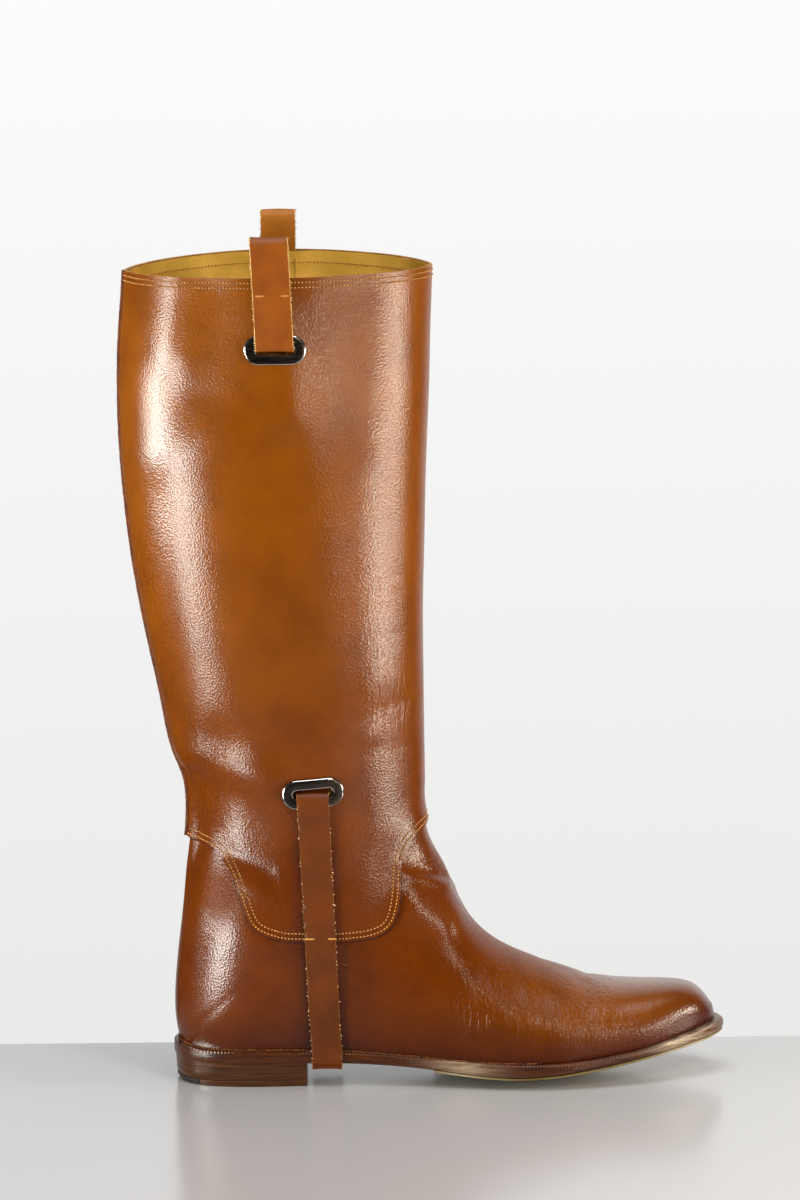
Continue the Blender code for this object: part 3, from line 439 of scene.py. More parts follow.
# Soft folds in the leather, as ridges (height above 0) and troughs along a line seen from the side.
Fold = namedtuple("Fold", "x0 z0 x1 z1 half_width height")
OUTER_FOLDS = (
    # The leg between the plates
    Fold(-26.0, 404.0, -28.0, 374.0, 12.0, 1.2),
    Fold(-46.0, 404.0, -48.0, 374.0, 12.0, -1.0),
    Fold(22.0, 392.0, 26.0, 345.0, 13.0, 2.2),
    Fold(60.0, 400.0, 56.0, 330.0, 12.0, -1.2),
    Fold(-8.0, 402.0, -14.0, 356.0, 14.0, -1.4),
    Fold(-44.0, 318.0, 0.0, 332.0, 14.0, 1.2),
    Fold(64.0, 290.0, 79.0, 286.0, 1.8, -0.14),
    Fold(66.0, 257.0, 80.0, 259.0, 1.6, -0.14),
    Fold(64.0, 229.0, 80.0, 229.0, 1.8, -0.12),
    # The fold over the heel and what answers it at the shin
    Fold(-22.0, 165.0, 14.0, 158.0, 10.0, 2.2),
    Fold(-9.0, 176.0, -9.0, 161.0, 14.0, -2.0),
    Fold(-18.0, 128.0, 4.0, 127.0, 30.0, -5.5),
    Fold(-6.0, 119.0, 14.0, 110.0, 4.5, -1.0),
    Fold(4.0, 104.0, 16.0, 98.0, 5.0, 0.6),
    Fold(58.0, 186.0, 88.0, 197.0, 3.4, -0.25),
    Fold(64.0, 178.0, 84.0, 184.0, 6.0, 0.25),
    Fold(62.0, 170.0, 88.0, 173.0, 4.0, -0.2),
    # The swell of the counter over the heel's seat
    Fold(-24.0, 37.0, 14.0, 35.0, 15.0, 1.5),
    Fold(8.0, 70.0, 6.0, 45.0, 16.0, 1.3),
    # The front of the ankle, on the foot and on the flap over it
    Fold(86.0, 122.0, 93.0, 118.0, 9.0, 0.9),
    Fold(84.0, 113.0, 108.0, 105.0, 7.0, -0.7),
    Fold(80.0, 111.5, 108.0, 101.0, 2.1, -0.7),
    Fold(80.0, 108.0, 105.0, 98.5, 2.2, 0.55),
    Fold(80.0, 104.5, 99.0, 97.5, 1.8, -0.35),
    Fold(86.0, 102.0, 88.0, 92.0, 8.0, 1.2),
    Fold(88.0, 92.0, 104.0, 83.0, 9.0, 1.9),
    # The vamp behind the toes, where it bends in walking
    Fold(118.0, 62.0, 122.0, 26.0, 3.0, -0.35),
    Fold(136.0, 56.0, 140.0, 26.0, 3.0, -0.35),
    Fold(160.0, 50.0, 156.0, 24.0, 6.0, 0.4),
    Fold(174.0, 50.0, 170.0, 24.0, 4.0, -0.6),
    Fold(184.0, 48.0, 178.0, 24.0, 4.0, 0.3),
)
INNER_FOLDS = (
    Fold(22.0, 392.0, 24.0, 338.0, 15.0, 2.0),
    Fold(64.0, 398.0, 58.0, 320.0, 14.0, -1.5),
    Fold(-14.0, 396.0, -20.0, 350.0, 15.0, -1.5),
    Fold(-36.0, 318.0, 6.0, 304.0, 16.0, 1.2),
    Fold(-20.0, 276.0, 24.0, 262.0, 18.0, -1.2),
    Fold(48.0, 270.0, 78.0, 262.0, 9.0, 0.8),
    Fold(-26.0, 214.0, 10.0, 208.0, 14.0, 1.0),
    Fold(-24.0, 178.0, 14.0, 170.0, 9.0, 2.2),
    Fold(-22.0, 158.0, 12.0, 150.0, 8.0, -1.8),
    Fold(-8.0, 134.0, 6.0, 130.0, 7.0, 1.2),
    Fold(60.0, 194.0, 86.0, 198.0, 4.0, -0.9),
    Fold(64.0, 184.0, 84.0, 186.0, 5.0, 0.8),
    Fold(80.0, 111.0, 107.0, 102.0, 2.6, -1.0),
    Fold(84.0, 101.0, 106.0, 94.0, 3.0, 0.8),
    Fold(96.0, 68.0, 108.0, 42.0, 9.0, -0.9),
    Fold(122.0, 60.0, 124.0, 28.0, 4.0, -0.6),
    Fold(150.0, 52.0, 148.0, 26.0, 4.0, -0.7),
    Fold(174.0, 49.0, 172.0, 26.0, 4.0, -0.8),
)
FOLDS = {OUTER: OUTER_FOLDS, INNER: INNER_FOLDS}
# Distance from the boot's middle line over which the folds of one side die away, and the heights over the
# sole between which they come in
FOLD_FADE = 9.0
FOLD_RISE = (2.0, 12.0)


def smooth_step(low, high, value):
    """0 below low, 1 above high and a soft rise between."""
    share = np.clip((value - low) / (high - low), 0.0, 1.0)
    return share * share * (3.0 - 2.0 * share)


def fold_height(points, side):
    """How far the folds lift the leather at points of the last."""
    x, y, z = np.moveaxis(points, -1, 0)
    height = np.zeros(x.shape)
    for fold in FOLDS[side]:
        run_x, run_z = fold.x1 - fold.x0, fold.z1 - fold.z0
        along = ((x - fold.x0) * run_x + (z - fold.z0) * run_z) / (run_x**2 + run_z**2)
        along = np.clip(along, 0.0, 1.0)
        away = np.hypot(x - fold.x0 - along * run_x, z - fold.z0 - along * run_z)
        height += fold.height * np.exp(-((away / fold.half_width) ** 2))
    from_sole = smooth_step(*FOLD_RISE, z - seat_height(x))
    return height * smooth_step(0.0, FOLD_FADE, np.abs(y)) * from_sole


def leather_point(station, angle, side, out=0.0):
    """A point of the folded leather, moved out along the last's normal."""
    base = last_point(station, angle, side)
    lift = out + fold_height(base, side)
    return base + lift[..., None] * last_normal(station, angle, side)


def on_leather(x, z, side, out=0.0):
    """The point of the folded leather seen at x, z from one side."""
    return leather_point(*locate(x, z, side), side, out)


# Mesh density, how rows crowd up the leg and along the sole, and the least angle of a sharp edge
SHAFT_COLUMNS, SHAFT_ROWS, SHAFT_ROW_SPREAD = 110, 168, 0.75
FOOT_COLUMNS, FOREFOOT_ROWS, REARFOOT_ROWS = 94, 90, 112
LINING_COLUMNS, LINING_ROWS = 72, 64
SOLE_ROWS, SOLE_CROWDING = 170, 0.3
SHARP_DEGREES = 38.0


def grid_faces(rows, columns, close_columns=False):
    """Quads between neighbours of a grid whose points are stored row by row."""
    across = np.arange(columns if close_columns else columns - 1)
    i, j = np.meshgrid(np.arange(rows - 1), across, indexing="ij")
    after = (j + 1) % columns
    corners = (i * columns + j, i * columns + after, (i + 1) * columns + after, (i + 1) * columns + j)
    return np.stack(corners, axis=-1).reshape(-1, 4)


def end_caps(rings, corners):
    """The two faces that close a tube of rings, each with so many corners."""
    return [list(range(corners))[::-1], list(range((rings - 1) * corners, rings * corners))]


def add_object(name, data):
    """Puts a new object into the scene."""
    made = bpy.data.objects.new(name, data)
    bpy.context.scene.collection.objects.link(made)
    return made


def add_piece(name, points, faces, surfaces, face_surfaces=None, slot=None, stands_for=()):
    """Makes a piece from points in millimetres, hangs it on the boot and hides the solids that it stands for.
    """
    mesh = bpy.data.meshes.new(name)
    mesh.from_pydata((np.asarray(points) * MM).tolist(), [], [tuple(map(int, face)) for face in faces])
    for surface in surfaces:
        mesh.materials.append(surface)
    if face_surfaces is not None:
        mesh.polygons.foreach_set("material_index", np.asarray(face_surfaces, np.int32))
    builder = bmesh.new()
    builder.from_mesh(mesh)
    bmesh.ops.recalc_face_normals(builder, faces=builder.faces)
    builder.to_mesh(mesh)
    builder.free()
    mesh.polygons.foreach_set("use_smooth", [True] * len(mesh.polygons))
    mesh.set_sharp_from_angle(angle=math.radians(SHARP_DEGREES))
    piece = add_object(name, mesh)
    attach(piece, "root")
    if stands_for:
        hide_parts(*stands_for)
    return piece


def mark(piece, name, values):
    """Stores one number for each point of a piece, for its material to read."""
    layer = piece.data.attributes.new(name, "FLOAT", "POINT")
    layer.data.foreach_set("value", np.asarray(values, np.float32))


def points_of(piece):
    """The points of a piece, in millimetres."""
    flat = np.empty(len(piece.data.vertices) * 3, np.float32)
    piece.data.vertices.foreach_get("co", flat)
    return flat.reshape(-1, 3).astype(float) / MM


# Kinds of face of a leather wall, as the places of its materials
OUTSIDE, CUT_EDGE, INSIDE = 0, 1, 2


def weld(points, faces):
    """Joins points that fall together. Gives the points to keep and the faces that are left."""
    rounded = np.round(points, WELD_DECIMALS)
    _, first, joined = np.unique(rounded, axis=0, return_index=True, return_inverse=True)
    joined = joined.reshape(-1).tolist()
    loops = []
    for face in faces:
        corners = [joined[corner] for corner in face]
        loop = [a for a, b in zip(corners, corners[1:] + corners[:1]) if a != b]
        if len(loop) > 2:
            loops.append(loop)
    return first, loops


def wall(outer, inner, close_columns=False, keep=None):
    """Points, faces and kinds of face of a wall between two grids of points, closed along its edges."""
    faces = grid_faces(*outer.shape[:2], close_columns)
    outer, inner = outer.reshape(-1, 3), inner.reshape(-1, 3)
    if keep is not None:
        faces = faces[keep(outer[faces].mean(axis=1))]
    first, loops = weld(outer, faces.tolist())
    count = len(first)
    edges = np.array([pair for loop in loops for pair in zip(loop, loop[1:] + loop[:1])])
    _, which, uses = np.unique(np.sort(edges, axis=1), axis=0, return_inverse=True, return_counts=True)
    open_edges = edges[uses[which.reshape(-1)] == 1].tolist()
    rim = [(b, a, a + count, b + count) for a, b in open_edges]
    within = [[count + point for point in reversed(loop)] for loop in loops]
    kinds = [OUTSIDE] * len(loops) + [CUT_EDGE] * len(rim) + [INSIDE] * len(within)
    return np.vstack([outer[first], inner[first]]), loops + rim + within, kinds


def both_sides(count):
    """(angles, sides) of mesh columns from the back along the outer side to the front and home again."""
    angles = np.linspace(BACK, FRONT, count)
    return np.concatenate([angles, angles[-2::-1]]), np.array([OUTER] * count + [INNER] * (count - 1))


def leather_grid(stations, angles, sides, out):
    """Points of the folded leather for rows of stations, with a side for each column."""
    grid = np.empty((*stations.shape, 3))
    out = np.broadcast_to(out, stations.shape)
    for side in (OUTER, INNER):
        columns = sides == side
        grid[:, columns] = leather_point(stations[:, columns], angles[:, columns], side, out[:, columns])
    return grid


def in_slot(points):
    """Which points lie in the slot behind a plate, seen from the side."""
    inside = np.zeros(len(points), bool)
    for eyelets in (UPPER_EYELETS, LOWER_EYELETS):
        for side, eyelet in eyelets.items():
            tilt = math.radians(eyelet.tilt_degrees)
            x, z = points[:, 0] - eyelet.x, points[:, 2] - eyelet.z
            along = np.abs(x * math.cos(tilt) + z * math.sin(tilt))
            across = np.abs(z * math.cos(tilt) - x * math.sin(tilt))
            near = (along < SLOT_LENGTH / 2.0) & (across < SLOT_HEIGHT / 2.0 + GAP)
            inside |= near & (points[:, 1] * side > 0.0)
    return inside


def leg_grid(columns, rows, lower_edge):
    """(stations, angles, sides) of a grid round the leg, from a lower edge's stations up to the collar."""
    angles, sides = both_sides(columns)
    angles, sides = angles[:-1], sides[:-1]
    low, high = lower_edge(angles), collar_station(angles)
    rise = np.linspace(0.0, 1.0, rows + 1)[:, None] ** SHAFT_ROW_SPREAD
    stations = low + rise * (high - low)
    return stations, np.broadcast_to(angles, stations.shape), sides


def build_shaft(calf, cut_edge, flesh):
    """The leg, one sheet of leather closed at the back and slotted behind the plates."""
    stations, angles, sides = leg_grid(SHAFT_COLUMNS, SHAFT_ROWS, hem_station)
    outer = leather_grid(stations, angles, sides, SHAFT_FACE)
    inner = leather_grid(stations, angles, sides, GAP)
    points, faces, kinds = wall(outer, inner, close_columns=True, keep=lambda middle: ~in_slot(middle))
    piece = add_piece(
        "shaft_leather", points, faces, (calf, cut_edge, flesh), kinds, "polished_tan_leather", ("shaft",)
    )
    mark_leather(piece)


# The lower edge of the upper, turned in over the sole in steps
TURNED_IN = (0.7, 2.5, 7.0)
# Evening out of the heel: rounds, the share of each, and where it ends forwards and upwards
RELAX_ROUNDS = 60
RELAX_SHARE = 0.5
RELAX_LENGTH = (0.0, 22.0)
RELAX_HEIGHT = (60.0, 85.0)


def build_upper(calf, cut_edge, flesh):
    """The foot, from the toe's tip to its edge under the shaft, turned in at the sole."""
    angles, sides = both_sides(FOOT_COLUMNS)
    tops = np.where(sides == OUTER, foot_top(angles, OUTER), foot_top(angles, INNER))
    bend_start = 2.0 * HEEL_BACK - tops[0]
    forward = np.linspace(0.0, bend_start, FOREFOOT_ROWS)
    bend = np.linspace(0.0, 1.0, REARFOOT_ROWS + 1)[1:, None]
    stations = np.vstack(
        [np.repeat(forward[:, None], len(angles), axis=1), bend_start + bend * (tops - bend_start)]
    )
    angles = np.broadcast_to(angles, stations.shape)
    outer_angles, inner_angles = (foot_angle(stations, angles, side) for side in (OUTER, INNER))
    angles = np.where(sides == OUTER, outer_angles, inner_angles)
    outer = leather_grid(stations, angles, sides, 0.0)
    inner = leather_grid(stations, angles, sides, -LEATHER)
    outer, inner = relax_heel(outer), relax_heel(inner)
    outer, inner = turn_in(outer, inner, stations[:, 0])
    points, faces, kinds = wall(outer, inner)
    piece = add_piece(
        "upper_leather", points, faces, (calf, cut_edge, flesh), kinds, "polished_tan_leather", ("upper",)
    )
    mark_leather(piece)


def relax_heel(grid):
    """Evens out the leather low on the heel, where the sections turn from the sole's edge to the back."""
    x, z = grid[..., 0], grid[..., 2]
    amount = (1.0 - smooth_step(*RELAX_LENGTH, x)) * (1.0 - smooth_step(*RELAX_HEIGHT, z))
    amount[:, (0, -1)] = 0.0
    amount[(0, -1), :] = 0.0
    for _ in range(RELAX_ROUNDS):
        level = grid.copy()
        level[1:-1, 1:-1] = (grid[:-2, 1:-1] + grid[2:, 1:-1] + grid[1:-1, :-2] + grid[1:-1, 2:]) / 4.0
        grid = grid + RELAX_SHARE * amount[..., None] * (level - grid)
    return grid


def turn_in(outer, inner, stations):
    """Adds columns under the foot's lower edge on both sides. Behind the heel they fall together."""
    under = stations < HEEL_BACK + STATION_STEP
    for side, last in ((OUTER, 0), (INNER, -1)):
        strips = []
        for inset in TURNED_IN:
            edge = feather(np.minimum(stations, HEEL_BACK), side, np.full(stations.shape, -inset))
            strips.append(np.where(under[:, None], edge, outer[:, last]))
        strip = np.stack(strips[::-1] if last == 0 else strips, axis=1)
        raised = strip + np.where(under[:, None, None], (0.0, 0.0, LEATHER), (0.0, 0.0, 0.0))
        if last == 0:
            outer, inner = np.hstack([strip, outer]), np.hstack([raised, inner])
        else:
            outer, inner = np.hstack([outer, strip]), np.hstack([inner, raised])
    return outer, inner


# The lining stands off the wall, and further where a strap lies behind it. The bulge behind a loop starts
# below its plate and fades beside it, the one behind the stirrup strap's end is round.
LINING_STAND_OFF = 0.25
LINING_BULGE = 3.4
LINING_BULGE_HALF_WIDTH = 13.0
LINING_BULGE_FADE = (0.75, 1.5)
LOOP_BULGE_BELOW = (20.0, 6.0)
STRAP_BULGE_REACH = (14.0, 26.0)
STRAP_BULGE_RISE = 4.0
LINING_DROP = 0.5


def lining_bulge(points):
    """How far the straps' hidden ends push the lining inwards."""
    x, z = points[..., 0], points[..., 2]
    loop = UPPER_EYELETS[OUTER]
    above_end = smooth_step(loop.z - LOOP_BULGE_BELOW[0], loop.z - LOOP_BULGE_BELOW[1], z)
    beside = smooth_step(*LINING_BULGE_FADE, np.abs(x - loop.x) / LINING_BULGE_HALF_WIDTH)
    plate = LOWER_EYELETS[OUTER]
    from_end = np.hypot(x - plate.x, z - plate.z - STRAP_BULGE_RISE)
    behind_strap = 1.0 - smooth_step(*STRAP_BULGE_REACH, from_end)
    return LINING_BULGE * np.maximum(above_end * (1.0 - beside), behind_strap)


def lining_face(points):
    """How far the lining's inner face lies out from the last, at points of the last."""
    return GAP - LINING_STAND_OFF - lining_bulge(points) - LINING_THICKNESS


def build_lining(lining, cut_edge):
    """The lining sheet inside the leg, from the collar down to the foot's upper edge."""
    stations, angles, sides = leg_grid(LINING_COLUMNS, LINING_ROWS, lapped_station)
    base = leather_grid(stations, angles, sides, 0.0)
    outer = leather_grid(stations, angles, sides, lining_face(base) + LINING_THICKNESS)
    inner = leather_grid(stations, angles, sides, lining_face(base))
    outer[-1, :, 2] -= LINING_DROP
    inner[-1, :, 2] -= LINING_DROP
    points, faces, kinds = wall(outer, inner, close_columns=True)
    add_piece("lining", points, faces, (lining, cut_edge, lining), kinds, "insole_leather")


# Points of a line beside an edge, and the angle by which it ends short of the boot's middle line
EDGE_POINTS = 700
EDGE_MARGIN = 0.02
# Stitches: pitch, gap, thread, lift, and the rings of one as shares of its length and thickness
STITCH_PITCH = 1.8
STITCH_GAP = 0.24
THREAD_RADIUS = 0.34
STITCH_LIFT = 0.22
STITCH_RINGS = ((0.0, 0.5), (0.22, 0.95), (0.5, 1.0), (0.78, 0.95), (1.0, 0.5))
STITCH_SIDES = 6
# Steps ahead and back that give a row's direction at a stitch and at a hole
STITCH_TANGENT = 0.05
HOLE_TANGENT = 0.2
# Needle holes, with their rings as shares of radius and height
HOLE_RADIUS = 0.42
HOLE_HEIGHT = 0.12
HOLE_RINGS = ((0.6, -1.0), (1.0, 0.2), (0.5, 0.7))
# Distances of the rows of stitches from the edge they follow
COLLAR_ROWS = (2.3, 4.9)
HEM_ROWS = (1.6, 4.2)
LINING_ROW = 6.2


def circles(across, up, corners):
    """Points of a unit circle for each pair of directions, as an array of circles and corners."""
    turn = np.arange(corners) * 2.0 * math.pi / corners
    return across[:, None] * np.cos(turn)[:, None] + up[:, None] * np.sin(turn)[:, None]


def run_lengths(path):
    """Distance along a path to each of its points."""
    return np.concatenate([[0.0], np.cumsum(np.linalg.norm(np.diff(path, axis=0), axis=1))])


def at_lengths(path, lengths):
    """Points of a path at distances along it."""
    run = run_lengths(path)
    return np.stack([np.interp(lengths, run, column) for column in path.T], axis=-1)


def beside_edge(edge_station, distance, side, out, upward):
    """(path, outward) of a line at a distance from an edge given by its stations. out is how far the line
    lies out from the last, as a number or as a rule for points of the last."""
    angles = np.linspace(BACK + EDGE_MARGIN, FRONT - EDGE_MARGIN, EDGE_POINTS)
    stations = edge_station(angles)
    edge = last_point(stations, angles, side)
    outward = last_normal(stations, angles, side)
    away = np.cross(outward, unit(np.gradient(edge, axis=0)))
    rise = last_point(stations - upward * STATION_STEP, angles, side) - edge
    away *= -np.sign((away * rise).sum(axis=-1, keepdims=True))
    moved = edge + distance * away
    place = locate(moved[:, 0], moved[:, 2], side)
    reach = out(last_point(*place, side)) if callable(out) else out
    return leather_point(*place, side, reach), last_normal(*place, side)


def even_starts(path, pitch):
    """(starts, pitch) of stitches that fill a path from end to end, at nearly the pitch asked for."""
    total = run_lengths(path)[-1]
    count = max(1, round(total / pitch))
    return np.arange(count) * total / count, total / count


def stitch_row(path, outward, pitch=STITCH_PITCH, radius=THREAD_RADIUS, gap=STITCH_GAP):
    """(points, faces) of one row of stitches, each a bent bead of thread with its ends sunk."""
    starts, pitch = even_starts(path, pitch)
    rings = []
    for share, fat in STITCH_RINGS:
        run = starts + pitch * (gap / 2.0 + share * (1.0 - gap))
        up = unit(at_lengths(outward, np.interp(run, run_lengths(path), run_lengths(outward))))
        along = unit(at_lengths(path, run + STITCH_TANGENT) - at_lengths(path, run - STITCH_TANGENT))
        middle = at_lengths(path, run) + up * (STITCH_LIFT * (2.0 * math.sin(math.pi * share) - 1.0))
        ring = circles(np.cross(up, along), up, STITCH_SIDES)
        rings.append(middle[:, None] + fat * radius * ring)
    return joined_copies(np.stack(rings, axis=1))


def joined_copies(points):
    """(points, faces) of closed tubes, one for each copy, from an array of copies, rings and corners."""
    copies, rings, corners = points.shape[:3]
    first = grid_faces(rings, corners, close_columns=True).tolist()
    first += end_caps(rings, corners)
    step = rings * corners
    faces = [[corner + copy * step for corner in face] for copy in range(copies) for face in first]
    return points.reshape(-1, 3), faces


def needle_holes(path, outward):
    """(points, faces) of the dimples between the stitches of a row, dark with painted shade."""
    starts, _ = even_starts(path, STITCH_PITCH)
    middle = at_lengths(path, starts)
    up = unit(at_lengths(outward, np.interp(starts, run_lengths(path), run_lengths(outward))))
    ahead = at_lengths(path, starts + HOLE_TANGENT)
    along = unit(ahead - at_lengths(path, np.maximum(starts - HOLE_TANGENT, 0.0)))
    ring = circles(np.cross(up, along), along, STITCH_SIDES)
    rings = [
        middle[:, None] + share * HOLE_RADIUS * ring + height * HOLE_HEIGHT * up[:, None]
        for share, height in HOLE_RINGS
    ]
    return joined_copies(np.stack(rings, axis=1))


def join(parts):
    """Several (points, faces) as one."""
    points, faces, start = [], [], 0
    for part_points, part_faces in parts:
        points.append(part_points)
        faces += [[corner + start for corner in face] for face in part_faces]
        start += len(part_points)
    return np.vstack(points), faces


def build_stitching(thread, hole):
    """All rows of stitches of the collar and of the shaft's lower edge, and their needle holes."""
    edges = (("collar", collar_station, COLLAR_ROWS, -1), ("hem", hem_station, HEM_ROWS, 1))
    for word, edge_station, distances, upward in edges:
        rows = []
        holes = []
        for side in SIDE_WORDS:
            for distance in distances:
                path, outward = beside_edge(edge_station, distance, side, SHAFT_FACE, upward)
                rows.append(stitch_row(path, outward))
                holes.append(needle_holes(path, outward))
        add_piece(f"{word}_stitches", *join(rows), (thread,))
        add_piece(f"{word}_needle_holes", *join(holes), (hole,))
    rows = []
    for side in SIDE_WORDS:
        path, outward = beside_edge(collar_station, LINING_ROW, side, lining_face, -1)
        rows.append(stitch_row(path, -outward))
    add_piece("lining_stitches", *join(rows), (thread,))


# The lining's joining seam on the far side, at one x from near the collar downwards
LINING_SEAM_X = 32.0
LINING_SEAM_HEIGHTS = (150.0, 408.0)
LINING_SEAM_STEPS = 120
LINING_SEAM_RADIUS = 0.7


def build_lining_seam(lining):
    """The closed seam of the lining, a low round ridge on its inner face."""
    z = np.linspace(*LINING_SEAM_HEIGHTS, LINING_SEAM_STEPS)
    place = locate(np.full(z.shape, LINING_SEAM_X), z, INNER)
    path = leather_point(*place, INNER, lining_face(last_point(*place, INNER)))
    add_piece("lining_seam", *tube(path, LINING_SEAM_RADIUS), (lining,))


# Round lines: their corners, and the thickness and place of the dark line of painted shade under the shaft's
# cut edge
TUBE_SIDES = 6
HEM_SHADE_RADIUS = 0.5
HEM_SHADE_OUT = 0.4


def tube(path, radius):
    """(points, faces) of a thin round cord along an open path."""
    along = unit(np.gradient(path, axis=0))
    across = unit(np.cross(along, np.roll(along, 1, axis=1) + (0.0, 0.0, 1.0)))
    ring = circles(across, np.cross(across, along), TUBE_SIDES)
    return joined_copies((path[:, None] + radius * ring)[None])


def build_hem_shade_line(ink):
    """A dark line of painted shade in the corner under the shaft's cut edge."""
    lines = []
    for side in SIDE_WORDS:
        path, _ = beside_edge(hem_station, -HEM_SHADE_OUT, side, HEM_SHADE_OUT, 1)
        lines.append(tube(path, HEM_SHADE_RADIUS))
    add_piece("painted_hem_shade", *join(lines), (ink,))


# The raw edge of the leather that shows between the foot and the sole: radius, how far it wanders and ends
RAW_EDGE_RADIUS = 0.42
RAW_EDGE_WANDER = 0.22
RAW_EDGE_POINTS = 420
RAW_EDGE_TOE = 150.0


def build_raw_edge(cut_edge):
    """A thin line of raw leather along the foot's lower edge, from the heel to the ball, partly dark with
    painted shade.
    """
    dice = np.random.default_rng(SEED)
    stations = np.linspace(station_at_sole(RAW_EDGE_TOE), HEEL_BACK, RAW_EDGE_POINTS)
    lines = []
    for side in SIDE_WORDS:
        wander = RAW_EDGE_WANDER * dice.uniform(-1.0, 1.0, (2, RAW_EDGE_POINTS))
        path = feather(stations, side, RAW_EDGE_RADIUS + wander[0])
        path[:, 2] += wander[1]
        lines.append(tube(path, RAW_EDGE_RADIUS))
    add_piece("raw_lower_edge", *join(lines), (cut_edge,))


# Straps: points across each face, the rounding and fraying of the raw edges, steps along the path for
# each of its points, how far the edges bend back, and the places of the materials
STRAP_FACE_POINTS = 9
STRAP_EDGE_STEP = 0.3
STRAP_EDGE_SHARES = (0.62, 0.0, -0.62)
STRAP_FRAY = 0.16
STRAP_STEPS = 14
STRAP_CUP = 0.25
STRAP_FACE, STRAP_EDGE = 0, 1


def strap(path, widths, closed=False):
    """(points, faces, kinds of face) of a flat strap along a path, its width lying along X."""
    dice = np.random.default_rng(SEED)
    if closed:
        tangent = unit(np.roll(path, -1, axis=0) - np.roll(path, 1, axis=0))
    else:
        tangent = unit(np.gradient(path, axis=0))
    across = unit(np.array([1.0, 0.0, 0.0]) - tangent[:, :1] * tangent)
    normal = np.cross(tangent, across)
    half, thick = widths / 2.0, STRAP_THICKNESS / 2.0
    columns = []
    for way in (1.0, -1.0):
        for share in np.linspace(-way, way, STRAP_FACE_POINTS):
            reach = share * (half - STRAP_EDGE_STEP)
            columns.append((reach, way * thick - STRAP_CUP * share**2 * STRAP_THICKNESS))
        for share in STRAP_EDGE_SHARES:
            fray = STRAP_FRAY * dice.uniform(-1.0, 1.0, len(path))
            reach = way * (half - abs(share) * STRAP_EDGE_STEP / 2.0 + fray)
            columns.append((reach, way * share * thick - STRAP_CUP * STRAP_THICKNESS))
    rings = [path + np.broadcast_to(a, half.shape)[:, None] * across + b * normal for a, b in columns]
    grid = np.stack(rings, axis=1)
    count = grid.shape[1]
    if closed:
        grid = np.concatenate([grid, grid[:1]])
    faces = grid_faces(*grid.shape[:2], close_columns=True)
    edge_start = STRAP_FACE_POINTS - 1
    edge_end = edge_start + len(STRAP_EDGE_SHARES) + 1
    in_half = (np.arange(len(faces)) % count) % (count // 2)
    kinds = np.where((in_half >= edge_start) & (in_half < edge_end), STRAP_EDGE, STRAP_FACE).tolist()
    points = grid.reshape(-1, 3)
    faces = faces.tolist()
    if closed:
        faces = [[corner % (len(points) - count) for corner in face] for face in faces]
        points = points[:-count]
    else:
        caps = end_caps(len(path), count)
        faces += caps
        kinds += [STRAP_EDGE] * len(caps)
    return points, faces, kinds


# Loose fibres on the straps' cut edges: their length, thickness, scatter over the strap's thickness and
# the rings of each spindle
FIBRE_LENGTHS = (0.3, 0.9)
FIBRE_THICKNESS = 0.24
FIBRE_SCATTER = 0.3
FIBRE_RINGS = ((0.0, 0.4), (0.35, 1.0), (0.75, 0.8), (1.0, 0.2))
FIBRE_SIDES = 4
FIBRES_PER_MM = {"loop": 1.5, "stirrup": 0.35}


def edge_fibres(path, widths, per_mm):
    """(points, faces) of short fibres that stand out along both edges of a strap."""
    dice = np.random.default_rng(SEED)
    lengths = run_lengths(path)
    count = int(lengths[-1] * per_mm)
    tufts = []
    for way in (1.0, -1.0):
        run = dice.uniform(0.0, lengths[-1], count)
        scatter = dice.uniform(-FIBRE_SCATTER, FIBRE_SCATTER, (count, 3))
        root = at_lengths(path, run) + scatter * STRAP_THICKNESS
        root[:, 0] += way * (np.interp(run, lengths, widths) / 2.0 - FIBRE_THICKNESS)
        lean = unit(dice.uniform(-1.0, 1.0, (count, 3)) + (way, 0.0, 0.0))
        across = unit(np.cross(lean, dice.uniform(-1.0, 1.0, (count, 3))))
        ring = FIBRE_THICKNESS * circles(across, np.cross(lean, across), FIBRE_SIDES)
        length = dice.uniform(*FIBRE_LENGTHS, (count, 1))
        rings = [(root + share * length * lean)[:, None] + fat * ring for share, fat in FIBRE_RINGS]
        tufts.append(joined_copies(np.stack(rings, axis=1)))
    return join(tufts)


def pull_loop_path(side):
    """The closed path of a pull loop through its plate and over the collar."""
    eyelet = UPPER_EYELETS[side]
    path = []
    for rise, out in PULL_LOOP_PATH:
        x = eyelet.x - PULL_LOOP_LEANS[side] * rise
        face = on_leather(x, min(eyelet.z + rise, SECTIONS[-1].low_z), side, SHAFT_FACE)
        path.append((x, face[1] + side * out, eyelet.z + rise))
    return through(path, STRAP_STEPS, closed=True)


def stirrup_side(side):
    """The stirrup strap's points on one side, from behind the plate down and round the sole's edge."""
    eyelet = LOWER_EYELETS[side]
    sole_low = float(underside_middle(STIRRUP_LOW_X + STIRRUP_LOW_WIDTH / 2.0))
    path = []
    for rise, out in STIRRUP_PATH:
        z = eyelet.z + rise
        x = eyelet.x - rise / (eyelet.z - sole_low) * (STIRRUP_LOW_X - eyelet.x)
        path.append((x, on_leather(x, z, side, SHAFT_FACE)[1] + side * out, z))
    half = STIRRUP_LOW_WIDTH / 2.0
    edges = [sole_edge(STIRRUP_LOW_X + across, side) for across in (-half, 0.0, half)]
    edge = max(edges, key=lambda point: abs(point[1]))
    beside = edge[1] + side * STIRRUP_STAND_OFF
    under = sole_low - GAP - STRAP_THICKNESS / 2.0
    path.append((STIRRUP_LOW_X, beside, edge[2] + GAP))
    for inward, rise in STIRRUP_TURN:
        path.append((STIRRUP_LOW_X, beside - side * inward, under + rise))
    return path


